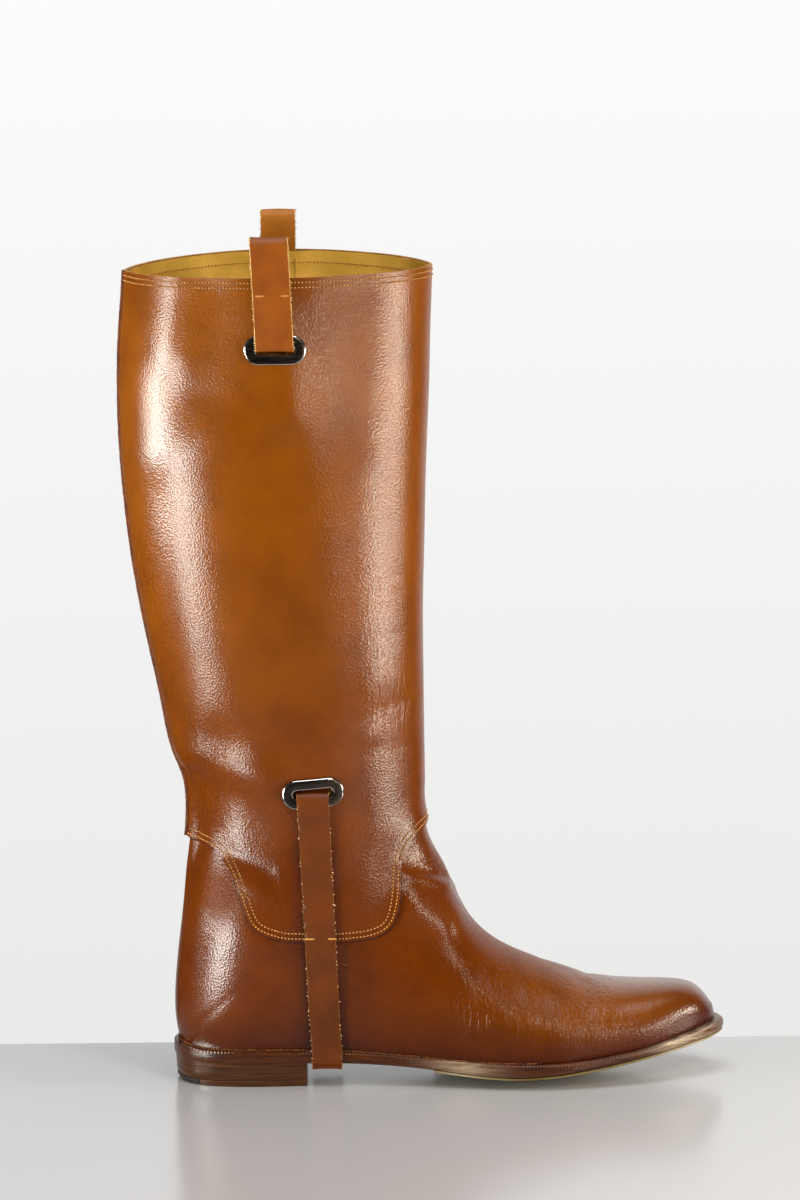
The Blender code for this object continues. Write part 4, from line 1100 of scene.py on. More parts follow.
def build_straps(plain):
    """The two pull loops and the stirrup strap, with loose fibres and the tack bars that hold them."""
    # The far loop's leather is a paler copy of the near loop's, as painted light
    loop_leathers = {OUTER: plain["bridle_loop_leather"], INNER: plain["far_loop_painted_light_leather"]}
    fibre, thread = plain["raw_leather_fibre"], plain["waxed_linen_thread"]
    loops = {}
    for side, word in SIDE_WORDS.items():
        path = pull_loop_path(side)
        widths = np.full(len(path), PULL_LOOP_WIDTHS[side])
        loops[side] = (path, widths)
        name = f"pull_loop_{word}"
        points, faces, kinds = strap(path, widths, closed=True)
        surfaces = (loop_leathers[side], plain["loop_cut_edge"])
        add_piece(f"{name}_strap", points, faces, surfaces, kinds, "strap_leather", (name,))
        add_piece(f"{name}_fibres", *edge_fibres(path, widths, FIBRES_PER_MM["loop"]), (fibre,))
    ends = [stirrup_side(side) for side in (OUTER, INNER)]
    path = through(ends[0] + ends[1][::-1], STRAP_STEPS)
    from_middle = np.abs(np.linspace(-1.0, 1.0, len(path)))
    widths = STIRRUP_LOW_WIDTH + (STIRRUP_TOP_WIDTH - STIRRUP_LOW_WIDTH) * from_middle
    points, faces, kinds = strap(path, widths)
    surfaces = (plain["rubbed_strap_leather"], plain["strap_cut_edge"])
    add_piece("stirrup_band", points, faces, surfaces, kinds, "strap_leather", ("stirrup_strap",))
    add_piece("stirrup_fibres", *edge_fibres(path, widths, FIBRES_PER_MM["stirrup"]), (fibre,))
    build_tack_bars(LOOP_TACKS, loops, thread)
    build_tack_bars(STIRRUP_TACKS, {side: (path, widths) for side in SIDE_WORDS}, thread)


# Tack bars: thick thread across a strap's edges, at a height, its two stretches as shares of the half width
TackBar = namedtuple("TackBar", "word z shares")
LOOP_TACKS = TackBar("loop", 404.6, ((-0.95, -0.32), (0.42, 0.99)))
STIRRUP_TACKS = TackBar("stirrup", 76.8, ((-0.99, -0.33), (0.5, 1.03)))
TACK_RADIUS = 0.5
TACK_GAP = 0.04
TACK_POINTS = 8


def build_tack_bars(bar, straps, thread):
    """Bars of thread on the outer faces of straps whose path and widths are given for each side."""
    rows = []
    for side, (path, widths) in straps.items():
        level = np.abs(path[:, 2] - bar.z) < STRAP_THICKNESS
        outermost = np.argmax(np.where(level, path[:, 1] * side, -np.inf))
        middle, half = path[outermost], widths[outermost] / 2.0
        outward = np.tile((0.0, float(side), 0.0), (TACK_POINTS, 1))
        for start, end in bar.shares:
            along = half * np.linspace(start, end, TACK_POINTS)
            bar_path = middle + outward * STRAP_THICKNESS / 2.0 + along[:, None] * (1.0, 0.0, 0.0)
            rows.append(stitch_row(bar_path, outward, half * (end - start), TACK_RADIUS, TACK_GAP))
    add_piece(f"{bar.word}_tack_bars", *join(rows), (thread,))


# Steps of each half round end and straight side of a plate's outline
STADIUM_STEPS = 12


def stadium(length, height):
    """The outline of a plate with half round ends, with points along its straight sides too."""
    radius = height / 2.0
    straight = length / 2.0 - radius
    points = []
    for way, first in ((1.0, -90.0), (-1.0, 90.0)):
        for i in range(STADIUM_STEPS + 1):
            angle = math.radians(first + 180.0 * i / STADIUM_STEPS)
            points.append((way * straight + radius * math.cos(angle), radius * math.sin(angle)))
        for share in np.linspace(1.0, -1.0, STADIUM_STEPS)[1:-1]:
            points.append((way * straight * share, way * radius))
    return np.array(points)


PLATE_FACE, PLATE_RIM = 0, 1
# Rings of a plate from the slot's wall over the face to the outside: how far each lies in from the
# slot's or the plate's outline, its drop from the top, and the finish of the band that follows it
PlateRing = namedtuple("PlateRing", "from_slot inset drop finish")
PLATE_RINGS = (
    PlateRing(True, 0.0, EYELET_THICKNESS, PLATE_FACE),
    PlateRing(True, 0.0, 0.5, PLATE_RIM),
    PlateRing(True, -0.2, 0.12, PLATE_RIM),
    PlateRing(True, -0.5, 0.0, PLATE_FACE),
    PlateRing(False, 1.2, 0.0, PLATE_FACE),
    PlateRing(False, 0.9, 0.05, PLATE_FACE),
    PlateRing(False, 0.6, 0.12, PLATE_RIM),
    PlateRing(False, 0.25, 0.35, PLATE_RIM),
    PlateRing(False, 0.0, 0.8, PLATE_FACE),
    PlateRing(False, 0.0, EYELET_THICKNESS, PLATE_FACE),
)


def build_eyelet(name, eyelet, side, gunmetal, bright_rim):
    """A slotted plate that follows the leg, with a dark face and a bright worn rim."""
    tilt = math.radians(eyelet.tilt_degrees)
    place = locate(eyelet.x, eyelet.z, side)
    normal = last_normal(*place, side)
    top = SHAFT_FACE + EYELET_SEAT + EYELET_THICKNESS + float(fold_height(last_point(*place, side), side))
    rings = []
    for ring in PLATE_RINGS:
        length, height = (SLOT_LENGTH, SLOT_HEIGHT) if ring.from_slot else (EYELET_LENGTH, EYELET_HEIGHT)
        outline = stadium(length - 2.0 * ring.inset, height - 2.0 * ring.inset)
        x = eyelet.x + outline[:, 0] * math.cos(tilt) - outline[:, 1] * math.sin(tilt)
        z = eyelet.z + outline[:, 0] * math.sin(tilt) + outline[:, 1] * math.cos(tilt)
        rings.append(last_point(*locate(x, z, side), side) + (top - ring.drop) * normal)
    grid = np.array(rings + rings[:1])
    count = grid.shape[1]
    faces = grid_faces(*grid.shape[:2], close_columns=True)
    kinds = np.repeat([ring.finish for ring in PLATE_RINGS], count)
    points = grid[:-1].reshape(-1, 3)
    faces = faces % len(points)
    add_piece(f"{name}_plate", points, faces, (gunmetal, bright_rim), kinds, "gunmetal_plate", (name,))


# The back seam: rows, how far its height wanders, and its profile as shares of its half width and height
SEAM_ROWS = 220
SEAM_WAVE = 0.12
SEAM_PROFILE = (
    (-1.0, 0.0),
    (-0.9, 0.8),
    (-0.5, 1.0),
    (-0.08, 0.95),
    (0.0, 0.7),
    (0.08, 0.95),
    (0.5, 1.0),
    (0.9, 0.8),
    (1.0, 0.0),
)


def build_back_seam(seam_edge):
    """The raised seam down the back, two cut edges closed together."""
    hem, collar = float(hem_station(BACK)), float(collar_station(BACK))
    stations = hem + (collar - hem) * np.linspace(0.0, 1.0, SEAM_ROWS) ** SHAFT_ROW_SPREAD
    outward = last_normal(stations, np.full(SEAM_ROWS, BACK), OUTER)
    foot = last_point(stations, np.full(SEAM_ROWS, BACK), OUTER) + SHAFT_FACE * outward
    dice = np.random.default_rng(SEED)
    half = SEAM_WIDTH / 2.0
    columns = []
    for across, rise in SEAM_PROFILE:
        height = (SEAM_HEIGHT + GAP) * rise + SEAM_WAVE * rise * dice.uniform(-1.0, 1.0, SEAM_ROWS)
        columns.append(foot + height[:, None] * outward + np.array([0.0, across * half, 0.0]))
    grid = np.stack(columns, axis=1)
    faces = grid_faces(*grid.shape[:2], close_columns=True).tolist()
    faces += end_caps(*grid.shape[:2])
    points = grid.reshape(-1, 3)
    add_piece("back_seam_edge", points, faces, (seam_edge,), None, "polished_tan_leather", ("back_seam",))


def sole_top(x):
    """Height of the sole's top, a glue gap under the upper."""
    return seat_height(x) - GAP


def sole_edge(x, side):
    """The outermost point of the sole's edge at x, at the height of its top."""
    return sole_point(station_at_sole(x), side, ledge_width(x), sole_top)


def sole_stations(start, end, count):
    """Stations along the sole from start to end, closer together at both ends and in the middle."""
    evenly = np.linspace(0.0, 1.0, count)
    crowded = evenly - SOLE_CROWDING * np.sin(4.0 * math.pi * evenly) / (4.0 * math.pi)
    return start + (end - start) * crowded


# How far down from the sole's top edge the marking wheel's notches reach
LEDGE_BAND = 2.6


def build_sole_layer(name, stations, profile, surface, slot, node):
    """A closed layer of the sole. profile gives the lines from the top round the edge to the tread."""
    lines = profile(stations, OUTER) + profile(stations, INNER)[::-1]
    grid = np.stack(lines, axis=1)
    rows, columns = grid.shape[:2]
    faces = grid_faces(rows, columns, close_columns=True).tolist()
    front_cap, back_cap = end_caps(rows, columns)
    if stations[0] > 0.0:
        faces.append(front_cap)
    if stations[-1] < HEEL_BACK:
        faces.append(back_cap)
    points = grid.reshape(-1, 3)
    first, loops = weld(points, faces)
    piece = add_piece(name, points[first], loops, (surface,), None, slot, (node,))
    mark(piece, "edge_run", np.repeat(run_lengths(feather(stations, OUTER)), columns)[first])
    x, _, z = points_of(piece).T
    # Pale patches on the sole's edge, a painted highlight
    mark(piece, "painted_sole_highlight", spotted(SOLE_HIGHLIGHT_SPOTS, x, z))
    mark(piece, "ledge", smooth_step(seat_height(x) - LEDGE_BAND, sole_top(x), z))


# The sole's lower edge is hardly rounded where the heel carries it on.
HEEL_SEAT_ROUNDING = 0.15
HEEL_TOP_ROUNDING = 0.5
# Lines of the outsole: under the foot, over the ledge (in from the edge and down), down the swelled side (as
# shares of its height) and round the lower edge (in and up, as shares of the rounding)
SOLE_TUCK = -3.0
LEDGE_LINES = ((1.5, 0.0), (0.7, 0.12), (0.2, 0.5))
SIDE_SHARES = (0.33, 0.67)
SIDE_SWELL = 0.12
LOWER_EDGE_LINES = ((0.0, 1.0), (0.3, 0.3), (1.0, 0.0))


def outsole_profile(stations, side):
    """The outsole's lines, from under the foot over the ledge and round the edge to the tread."""
    x = feather(stations, side)[:, 0]
    ledge = ledge_width(x)
    on_heel = x < HEEL_BREAST
    top_rounding = np.where(on_heel, HEEL_TOP_ROUNDING, EDGE_ROUNDING)
    rounding = np.where(on_heel, HEEL_SEAT_ROUNDING, EDGE_ROUNDING)

    def line(reach, height):
        return sole_point(stations, side, reach, height)

    lines = [line(np.full(stations.shape, SOLE_TUCK), sole_top)]
    for inset, drop in LEDGE_LINES:
        lines.append(line(ledge - inset, lambda place: sole_top(place) - drop))
    lines.append(line(ledge, lambda place: sole_top(place) - top_rounding))
    for share in SIDE_SHARES:
        lines.append(
            line(
                ledge + SIDE_SWELL,
                lambda place: sole_top(place) + share * (underside_edge(place) - sole_top(place)),
            )
        )
    for inset, rise in LOWER_EDGE_LINES:
        lines.append(line(ledge - inset * rounding, lambda place: underside_edge(place) + rise * rounding))
    lines.append(tread_point(stations, side, TREAD_SHARE, underside_middle))
    return lines


# The half sole: how far its edge lies in from the sole's, its rounded corner (in and up), and how far below
# the outsole its upper face is drawn
HALF_SOLE_INSET = 0.5
HALF_SOLE_CORNER = (0.3, 0.25)
HALF_SOLE_TOP = 0.15


def half_sole_profile(stations, side):
    """The half sole's lines, from its tread round the edge to its upper face."""
    reach = ledge_width(feather(stations, side)[:, 0]) - HALF_SOLE_INSET
    drop = HALF_SOLE_GAP + HALF_SOLE_THICKNESS
    inward, rise = HALF_SOLE_CORNER
    return [
        tread_point(stations, side, TREAD_SHARE, lambda x: underside_middle(x) - drop),
        sole_point(stations, side, reach - inward, lambda x: underside_edge(x) - drop),
        sole_point(stations, side, reach, lambda x: underside_edge(x) - drop + rise),
        sole_point(stations, side, reach, lambda x: underside_edge(x) - HALF_SOLE_TOP),
        tread_point(stations, side, TREAD_SHARE, lambda x: underside_middle(x) - HALF_SOLE_TOP),
    ]


def heel_line(stations, side, height, inset=0.0):
    """A level line round the heel's tapered side."""
    x = feather(stations, side)[:, 0]
    level = height(x) if callable(height) else np.full(x.shape, height)
    reach = ledge_width(x) - HEEL_STEP - HEEL_TAPER * (1.0 - level / underside_edge(x)) - inset
    point = feather(stations, side, reach)
    point[:, 2] = level
    return point


# The heel's joints, their grooves, and its lines as heights and insets: above and below the joint over
# the top lift, and at the ground
LIFT_LINES = (9.4, 6.4)
LIFT_GROOVE = 0.16
HEEL_TOP_DROP = 0.1
STACK_FOOT = ((TOP_LIFT_HEIGHT + 0.35, 0.0), (TOP_LIFT_HEIGHT + 0.15, LIFT_GROOVE))
LIFT_TOP = ((TOP_LIFT_HEIGHT, LIFT_GROOVE), (TOP_LIFT_HEIGHT - 0.2, 0.0))
LIFT_FOOT = ((0.3, 0.0), (0.0, 0.3))
TIP_BEVEL_TOP = ((RUBBER_TIP_BEVEL + 0.3, 0.0), (RUBBER_TIP_BEVEL, 0.2))
TIP_FOOT_INSET = 0.2


def heel_lines(stations, side, places):
    """Level lines round the heel for pairs of a height and an inset."""
    return [heel_line(stations, side, height, inset) for height, inset in places]


def heel_stack_profile(stations, side):
    """The lifts' lines from the sole down, with a groove at each joint."""
    places = [(lambda x: underside_edge(x) - HEEL_TOP_DROP, 0.0)]
    for level in LIFT_LINES:
        places += [(level + LIFT_GROOVE, 0.0), (level, LIFT_GROOVE), (level - LIFT_GROOVE, 0.0)]
    return heel_lines(stations, side, (*places, *STACK_FOOT))


def top_lift_profile(stations, side):
    """The lowest lift's lines, from its joint to the ground."""
    return heel_lines(stations, side, LIFT_TOP + LIFT_FOOT)


def rubber_tip_profile(stations, side):
    """The rubber corner's lines, the lowest drawn in further towards the back as a bevel."""
    start = station_at_sole(RUBBER_TIP_END)
    share = (stations - start) / (HEEL_BACK - start)
    foot = (0.0, share * RUBBER_TIP_BEVEL_REACH + TIP_FOOT_INSET)
    return heel_lines(stations, side, (*LIFT_TOP, *TIP_BEVEL_TOP, foot))


# Rows of the shorter layers, as fractions of the outsole's
FOREFOOT_PART, HEEL_PART, LIFT_PART, TIP_PART = 2, 2, 3, 4


def build_soles(sole_edge_leather, half_sole, lifts, rubber):
    """The outsole, the thin layer under its forepart and the heel."""
    breast = station_at_sole(HEEL_BREAST)
    tip_start = station_at_sole(RUBBER_TIP_END)
    lift_end = station_at_sole(RUBBER_TIP_END + GAP)
    whole = sole_stations(0.0, HEEL_BACK, SOLE_ROWS)
    forefoot = sole_stations(0.0, station_at_sole(HALF_SOLE_START), SOLE_ROWS // FOREFOOT_PART)
    heel = np.linspace(breast, HEEL_BACK, SOLE_ROWS // HEEL_PART)
    lift = np.linspace(breast, lift_end, SOLE_ROWS // LIFT_PART)
    tip = np.linspace(tip_start, HEEL_BACK, SOLE_ROWS // TIP_PART)
    for layer in (
        ("outsole_leather", whole, outsole_profile, sole_edge_leather, "burnished_sole_leather", "outsole"),
        ("half_sole_layer", forefoot, half_sole_profile, half_sole, "half_sole_leather", "half_sole"),
        ("heel_lifts", heel, heel_stack_profile, lifts, "heel_lift_leather", "heel_stack"),
        ("lowest_lift", lift, top_lift_profile, lifts, "heel_lift_leather", "top_lift"),
        ("rubber_corner", tip, rubber_tip_profile, rubber, "black_rubber", "rubber_tip"),
    ):
        build_sole_layer(*layer)


def linear(code):
    """A hex colour of the screen as the linear light that a shader takes."""
    parts = [int(code[i : i + 2], 16) / 255.0 for i in (1, 3, 5)]
    return (*(part / 12.92 if part <= 0.04045 else ((part + 0.055) / 1.055) ** 2.4 for part in parts), 1.0)


def per(size):
    """The scale that gives a pattern features of a size in millimetres, on coordinates in metres."""
    return 1.0 / (size * MM)


def add(tree, kind, output, inputs=None, **settings):
    """Adds a node with its settings and gives one of its outputs. inputs holds a value, or the socket that
    feeds it, by name or number."""
    node = tree.nodes.new(f"ShaderNode{kind}")
    for name, value in settings.items():
        setattr(node, name, value)
    for name, value in (inputs or {}).items():
        if isinstance(value, bpy.types.NodeSocket):
            tree.links.new(value, node.inputs[name])
        else:
            node.inputs[name].default_value = value
    return node.outputs[output]


def new_material(name):
    """(material, its node tree, its shader, the socket that gives the object's own coordinates)"""
    made = bpy.data.materials.new(name)
    made.use_nodes = True
    tree = made.node_tree
    return made, tree, tree.nodes["Principled BSDF"], add(tree, "TexCoord", "Object")


def dress(tree, shader, links, **values):
    """Feeds a shader's sockets from other nodes, and sets its plain values."""
    for name, socket in links.items():
        tree.links.new(socket, shader.inputs[name])
    for name, value in values.items():
        shader.inputs[name.replace("_", " ")].default_value = value


# Sockets of a node that mixes two colours: its share, its colours and what it gives
SHARE, FIRST, SECOND, MIXED = 0, 6, 7, 2


def waxed_calf_leather():
    """Vegetable-tanned calf, waxed and brushed by hand: tan with cloudy darker patches, a satin coat of
    wax over fine pores, darker just above the sole, dark wax at the toe, painted shadow beside the stirrup
    strap, fine lines where it bends."""
    made, tree, shader, place = new_material("waxed_calf_leather")
    words = ("leg_share", "darkening_and_painted_shadow", "flex", "polish")
    up_the_leg, darkening_and_painted_shadow, flex, polish = (
        add(tree, "Attribute", "Fac", attribute_name=word) for word in words
    )
    clouds = add(
        tree, "TexNoise", "Fac", {"Vector": place, "Scale": per(34.0), "Detail": 5.0, "Roughness": 0.6}
    )
    flecks = add(tree, "TexNoise", "Fac", {"Vector": place, "Scale": per(3.2), "Detail": 3.0})
    cloudy = add(tree, "MapRange", "Result", {"Value": clouds, "From Min": 0.36, "From Max": 0.66})
    leg, foot = (
        add(tree, "Mix", MIXED, {SHARE: cloudy, FIRST: linear(light), SECOND: linear(dark)}, data_type="RGBA")
        for light, dark in (("#703B02", "#613000"), ("#5A2700", "#4C1E00"))
    )
    tan = add(tree, "Mix", MIXED, {SHARE: up_the_leg, FIRST: foot, SECOND: leg}, data_type="RGBA")
    # Darker brown just above the sole, dark wax at the toe's tip, and painted shadow beside the stirrup strap
    darkened_and_shadowed = add(tree, "Mix", MIXED, {SHARE: darkening_and_painted_shadow, FIRST: tan, SECOND: linear("#35120A")}, data_type="RGBA")
    fleck_share = add(
        tree, "MapRange", "Result", {"Value": flecks, "From Min": 0.52, "From Max": 0.8, "To Max": 0.1}
    )
    colour = add(
        tree, "Mix", MIXED, {SHARE: fleck_share, FIRST: darkened_and_shadowed, SECOND: linear("#6A300C")}, data_type="RGBA"
    )
    rough = add(
        tree,
        "MapRange",
        "Result",
        {"Value": flecks, "From Min": 0.3, "From Max": 0.7, "To Min": 0.3, "To Max": 0.44},
    )
    # Pores are about 0.3 mm across, too fine to show, and are drawn at 1 mm.
    pores = add(tree, "TexVoronoi", "Distance", {"Vector": place, "Scale": per(1.0), "Randomness": 1.0})
    drawn_out = add(tree, "Mapping", "Vector", {"Vector": place, "Scale": (per(2.6), per(2.6), per(11.0))})
    lines = add(
        tree, "TexNoise", "Fac", {"Vector": drawn_out, "Scale": 1.0, "Detail": 3.0, "Distortion": 0.6}
    )
    flex_lines = add(tree, "Math", "Value", {0: lines, 1: flex}, operation="MULTIPLY")
    soft = add(tree, "Bump", "Normal", {"Height": clouds, "Strength": 0.25, "Distance": 1.2 * MM})
    bent = add(
        tree, "Bump", "Normal", {"Height": flex_lines, "Strength": 1.0, "Distance": 1.2 * MM, "Normal": soft}
    )
    grain = add(
        tree, "Bump", "Normal", {"Height": pores, "Strength": 0.42, "Distance": 0.22 * MM, "Normal": bent}
    )
    dress(
        tree,
        shader,
        {
            "Base Color": colour,
            "Roughness": rough,
            "Coat Weight": polish,
            "Normal": grain,
            "Coat Normal": grain,
        },
        IOR=1.48,
        Specular_IOR_Level=0.04,
        Coat_Roughness=0.2,
        Coat_IOR=1.42,
    )
    return made


# Surfaces without a shine of wax, each with what its making gives the eye. patch and grain are sizes in
# millimetres of the clouds of colour and of the relief, rough and bump the shader's own values.
PlainSurface = namedtuple("PlainSurface", "light dark patch grain rough bump")
PLAIN_SURFACES = {
    # Calf cut through with a knife: pale open fibre, dull and uneven
    "calf_cut_edge": PlainSurface("#B98A4A", "#8A5A24", 6.0, 0.9, 0.7, 0.4),
    # The calf's flesh side, shaved and never waxed: dull ochre with a short nap
    "calf_flesh_side": PlainSurface("#A67A3C", "#8A6028", 14.0, 0.9, 0.8, 0.4),
    # Thin lining leather, dyed through and rolled smooth: even mustard with little shine
    "mustard_lining_leather": PlainSurface("#E8BC52", "#D2A640", 16.0, 1.0, 0.55, 0.25),
    # Bridle leather, stuffed with grease and wiped: warm tan with a soft low shine
    "bridle_loop_leather": PlainSurface("#7A3E00", "#6C3400", 14.0, 0.9, 0.45, 0.2),
    # The same bridle leather, drawn paler and yellower as painted light on the far loop, and a little rougher
    "far_loop_painted_light_leather": PlainSurface("#A8681C", "#985A12", 14.0, 0.9, 0.5, 0.2),
    # Strap leather rubbed by the boot under it: red brown, the smoothest of the straps
    "rubbed_strap_leather": PlainSurface("#5A2800", "#4E2200", 14.0, 0.9, 0.42, 0.2),
    # The loops' edges, cut and never inked: light fibres with darker ones between
    "loop_cut_edge": PlainSurface("#C2A468", "#8A5A22", 2.2, 0.6, 0.8, 0.6),
    # The stirrup strap's edges, cut and darkened by wear: brown, broken and dull
    "strap_cut_edge": PlainSurface("#7A4A1C", "#3E1E08", 3.0, 0.6, 0.8, 0.6),
    # Fibre ends pulled out of the cut: pale straw without shine
    "raw_leather_fibre": PlainSurface("#E4D09A", "#B48C4C", 2.0, 0.5, 0.9, 0.4),
    # The upper's lower edge, sanded before the sole goes on: brown, mixed with black that is painted shade of
    # the gap at the sole, dull
    "raw_edge_and_painted_shade": PlainSurface("#74441C", "#2E1608", 2.4, 0.6, 0.8, 0.6),
    # Linen thread drawn through wax: honey coloured, a little glossy, its twist showing as grain
    "waxed_linen_thread": PlainSurface("#BE8842", "#946026", 3.0, 0.4, 0.5, 0.3),
    # Needle holes, and the corner under the shaft's cut edge: nearly black as painted shade, without shine
    "needle_hole": PlainSurface("#2E1408", "#1E0C05", 2.0, 0.5, 0.8, 0.2),
    # Two cut edges closed together and inked: dark brown, dull, with the grain of the cut
    "dark_seam_edge": PlainSurface("#6E3A14", "#4A220C", 8.0, 0.8, 0.6, 0.4),
    # Moulded rubber, scuffed by the ground: charcoal, matt and finely speckled
    "heel_rubber": PlainSurface("#2C2724", "#1F1B19", 6.0, 0.8, 0.62, 0.25),
    # Insole leather, sanded and pressed by the foot: pale brown with wide darker patches, matt
    "insole_leather": PlainSurface("#B8935A", "#96713C", 20.0, 1.0, 0.7, 0.3),
}
# How deep the relief is as a share of its grain, and how far the roughness swings with it
RELIEF_SHARE = 0.3
ROUGHNESS_SWING = 0.07


def plain_leather(name, surface):
    """Leather, thread or rubber with two cloudy colours and one grain, for what isn't waxed to a shine."""
    made, tree, shader, place = new_material(name)
    patches = {"Vector": place, "Scale": per(surface.patch), "Detail": 4.0, "Roughness": 0.6}
    clouds = add(tree, "TexNoise", "Fac", patches)
    share = add(tree, "MapRange", "Result", {"Value": clouds, "From Min": 0.35, "From Max": 0.65})
    colours = {SHARE: share, FIRST: linear(surface.light), SECOND: linear(surface.dark)}
    colour = add(tree, "Mix", MIXED, colours, data_type="RGBA")
    fibre = add(tree, "TexNoise", "Fac", {"Vector": place, "Scale": per(surface.grain), "Detail": 4.0})
    depth = surface.grain * RELIEF_SHARE * MM
    relief = add(tree, "Bump", "Normal", {"Height": fibre, "Strength": surface.bump, "Distance": depth})
    swing = {"To Min": surface.rough - ROUGHNESS_SWING, "To Max": surface.rough + ROUGHNESS_SWING}
    uneven = add(tree, "MapRange", "Result", {"Value": fibre, "From Min": 0.3, "From Max": 0.7, **swing})
    links = {"Base Color": colour, "Roughness": uneven, "Normal": relief}
    dress(tree, shader, links, IOR=1.46, Specular_IOR_Level=0.3)
    return made


NOTCH_PITCH = 1.7


def layered_leather(name, light, dark, layer, rough, notched=False):
    """Sole leather cut across its fibres, sanded, inked and waxed: streaks along the layers, a low shine
    and, on the sole's ledge, the small upright notches of a marking wheel."""
    made, tree, shader, place = new_material(name)
    drawn_out = add(tree, "Mapping", "Vector", {"Vector": place, "Scale": (per(22.0), per(22.0), per(layer))})
    streaks = add(
        tree, "TexNoise", "Fac", {"Vector": drawn_out, "Scale": 1.0, "Detail": 5.0, "Roughness": 0.65}
    )
    share = add(tree, "MapRange", "Result", {"Value": streaks, "From Min": 0.34, "From Max": 0.66})
    colours = {SHARE: share, FIRST: linear(light), SECOND: linear(dark)}
    inked = add(tree, "Mix", MIXED, colours, data_type="RGBA")
    # Pale patches where the sole's edge is drawn lighter, a painted highlight
    painted_sole_highlight = add(tree, "Attribute", "Fac", attribute_name="painted_sole_highlight")
    painted_highlight_share = add(tree, "Math", "Value", {0: painted_sole_highlight, 1: share}, operation="MULTIPLY")
    colours = {SHARE: painted_highlight_share, FIRST: inked, SECOND: linear("#C8B498")}
    colour = add(tree, "Mix", MIXED, colours, data_type="RGBA")
    relief = add(tree, "Bump", "Normal", {"Height": streaks, "Strength": 0.35, "Distance": 0.3 * MM})
    if notched:
        run = add(tree, "Attribute", "Fac", attribute_name="edge_run")
        on_ledge = add(tree, "Attribute", "Fac", attribute_name="ledge")
        turns = add(tree, "Math", "Value", {0: run, 1: 2.0 * math.pi / NOTCH_PITCH}, operation="MULTIPLY")
        teeth = add(tree, "Math", "Value", {0: turns}, operation="SINE")
        notches = add(tree, "Math", "Value", {0: teeth, 1: on_ledge}, operation="MULTIPLY")
        cuts = {"Height": notches, "Strength": 0.5, "Distance": 0.2 * MM, "Normal": relief}
        relief = add(tree, "Bump", "Normal", cuts)
    dress(
        tree,
        shader,
        {"Base Color": colour, "Normal": relief, "Coat Normal": relief},
        Roughness=rough,
        IOR=1.5,
        Specular_IOR_Level=0.12,
        Coat_Weight=0.6,
        Coat_Roughness=0.22,
        Coat_IOR=1.42,
    )
    return made


# How far below and above its own value a metal's roughness goes along its streaks
METAL_SMOOTHEST, METAL_ROUGHEST = 0.7, 1.4


def worn_metal(name, light, dark, rough):
    """Plated steel rubbed by a strap: smooth, with faint streaks that break its reflections."""
    made, tree, shader, place = new_material(name)
    drawn_out = add(tree, "Mapping", "Vector", {"Vector": place, "Scale": (per(9.0), per(9.0), per(1.2))})
    streaks = add(tree, "TexNoise", "Fac", {"Vector": drawn_out, "Scale": 1.0, "Detail": 4.0})
    colours = {SHARE: streaks, FIRST: linear(light), SECOND: linear(dark)}
    colour = add(tree, "Mix", MIXED, colours, data_type="RGBA")
    swing = {"To Min": rough * METAL_SMOOTHEST, "To Max": rough * METAL_ROUGHEST}
    uneven = add(tree, "MapRange", "Result", {"Value": streaks, "From Min": 0.3, "From Max": 0.7, **swing})
    dress(tree, shader, {"Base Color": colour, "Roughness": uneven}, Metallic=1.0)
    return made


# Soft round spots of the leather: centre, half sizes and strength
Spot = namedtuple("Spot", "x z half_x half_z strength")
# Where the wax is rubbed to a higher shine, and below 0 where wear has dulled it
POLISH_SPOTS = (
    Spot(-38.0, 325.0, 18.0, 60.0, 0.3),
    Spot(42.0, 364.0, 11.0, 24.0, 0.4),
    Spot(52.0, 312.0, 14.0, 28.0, -0.35),
    Spot(72.0, 199.0, 20.0, 9.0, -0.4),
    Spot(-11.0, 98.0, 14.0, 15.0, -0.75),
    Spot(-7.0, 68.0, 12.0, 15.0, 0.4),
    Spot(206.0, 50.0, 36.0, 16.0, 0.7),
    Spot(-10.0, 150.0, 12.0, 8.0, -0.25),
    Spot(-3.0, 167.0, 14.0, 9.0, -0.2),
    Spot(96.0, 88.0, 12.0, 12.0, 0.5),
)
# Where the sole's edge is drawn pale as a painted highlight
SOLE_HIGHLIGHT_SPOTS = (Spot(111.0, 8.0, 16.0, 14.0, 0.6), Spot(223.0, 22.0, 14.0, 14.0, 0.8))
# Where the leather bends and shows fine lines
FLEX_SPOTS = (
    Spot(118.0, 40.0, 14.0, 26.0, 0.8),
    Spot(140.0, 36.0, 10.0, 22.0, 0.7),
    Spot(172.0, 36.0, 14.0, 18.0, 1.0),
    Spot(96.0, 104.0, 14.0, 12.0, 0.6),
    Spot(-16.0, 160.0, 16.0, 22.0, 0.4),
    Spot(78.0, 190.0, 12.0, 22.0, 0.5),
)


def spotted(spots, x, z):
    """The strength that soft spots add up to at points of the boot's side."""
    strength = np.zeros(len(x))
    for spot in spots:
        away = ((x - spot.x) / spot.half_x) ** 2 + ((z - spot.z) / spot.half_z) ** 2
        strength += spot.strength * np.exp(-away)
    return strength


# How far the painted shadow beside the stirrup strap reaches behind and in front of it, and how far
# below the plate it comes in
STRAP_SHADOW_REACH = (5.0, 2.2)
STRAP_SHADOW_BELOW = (30.0, 5.0)


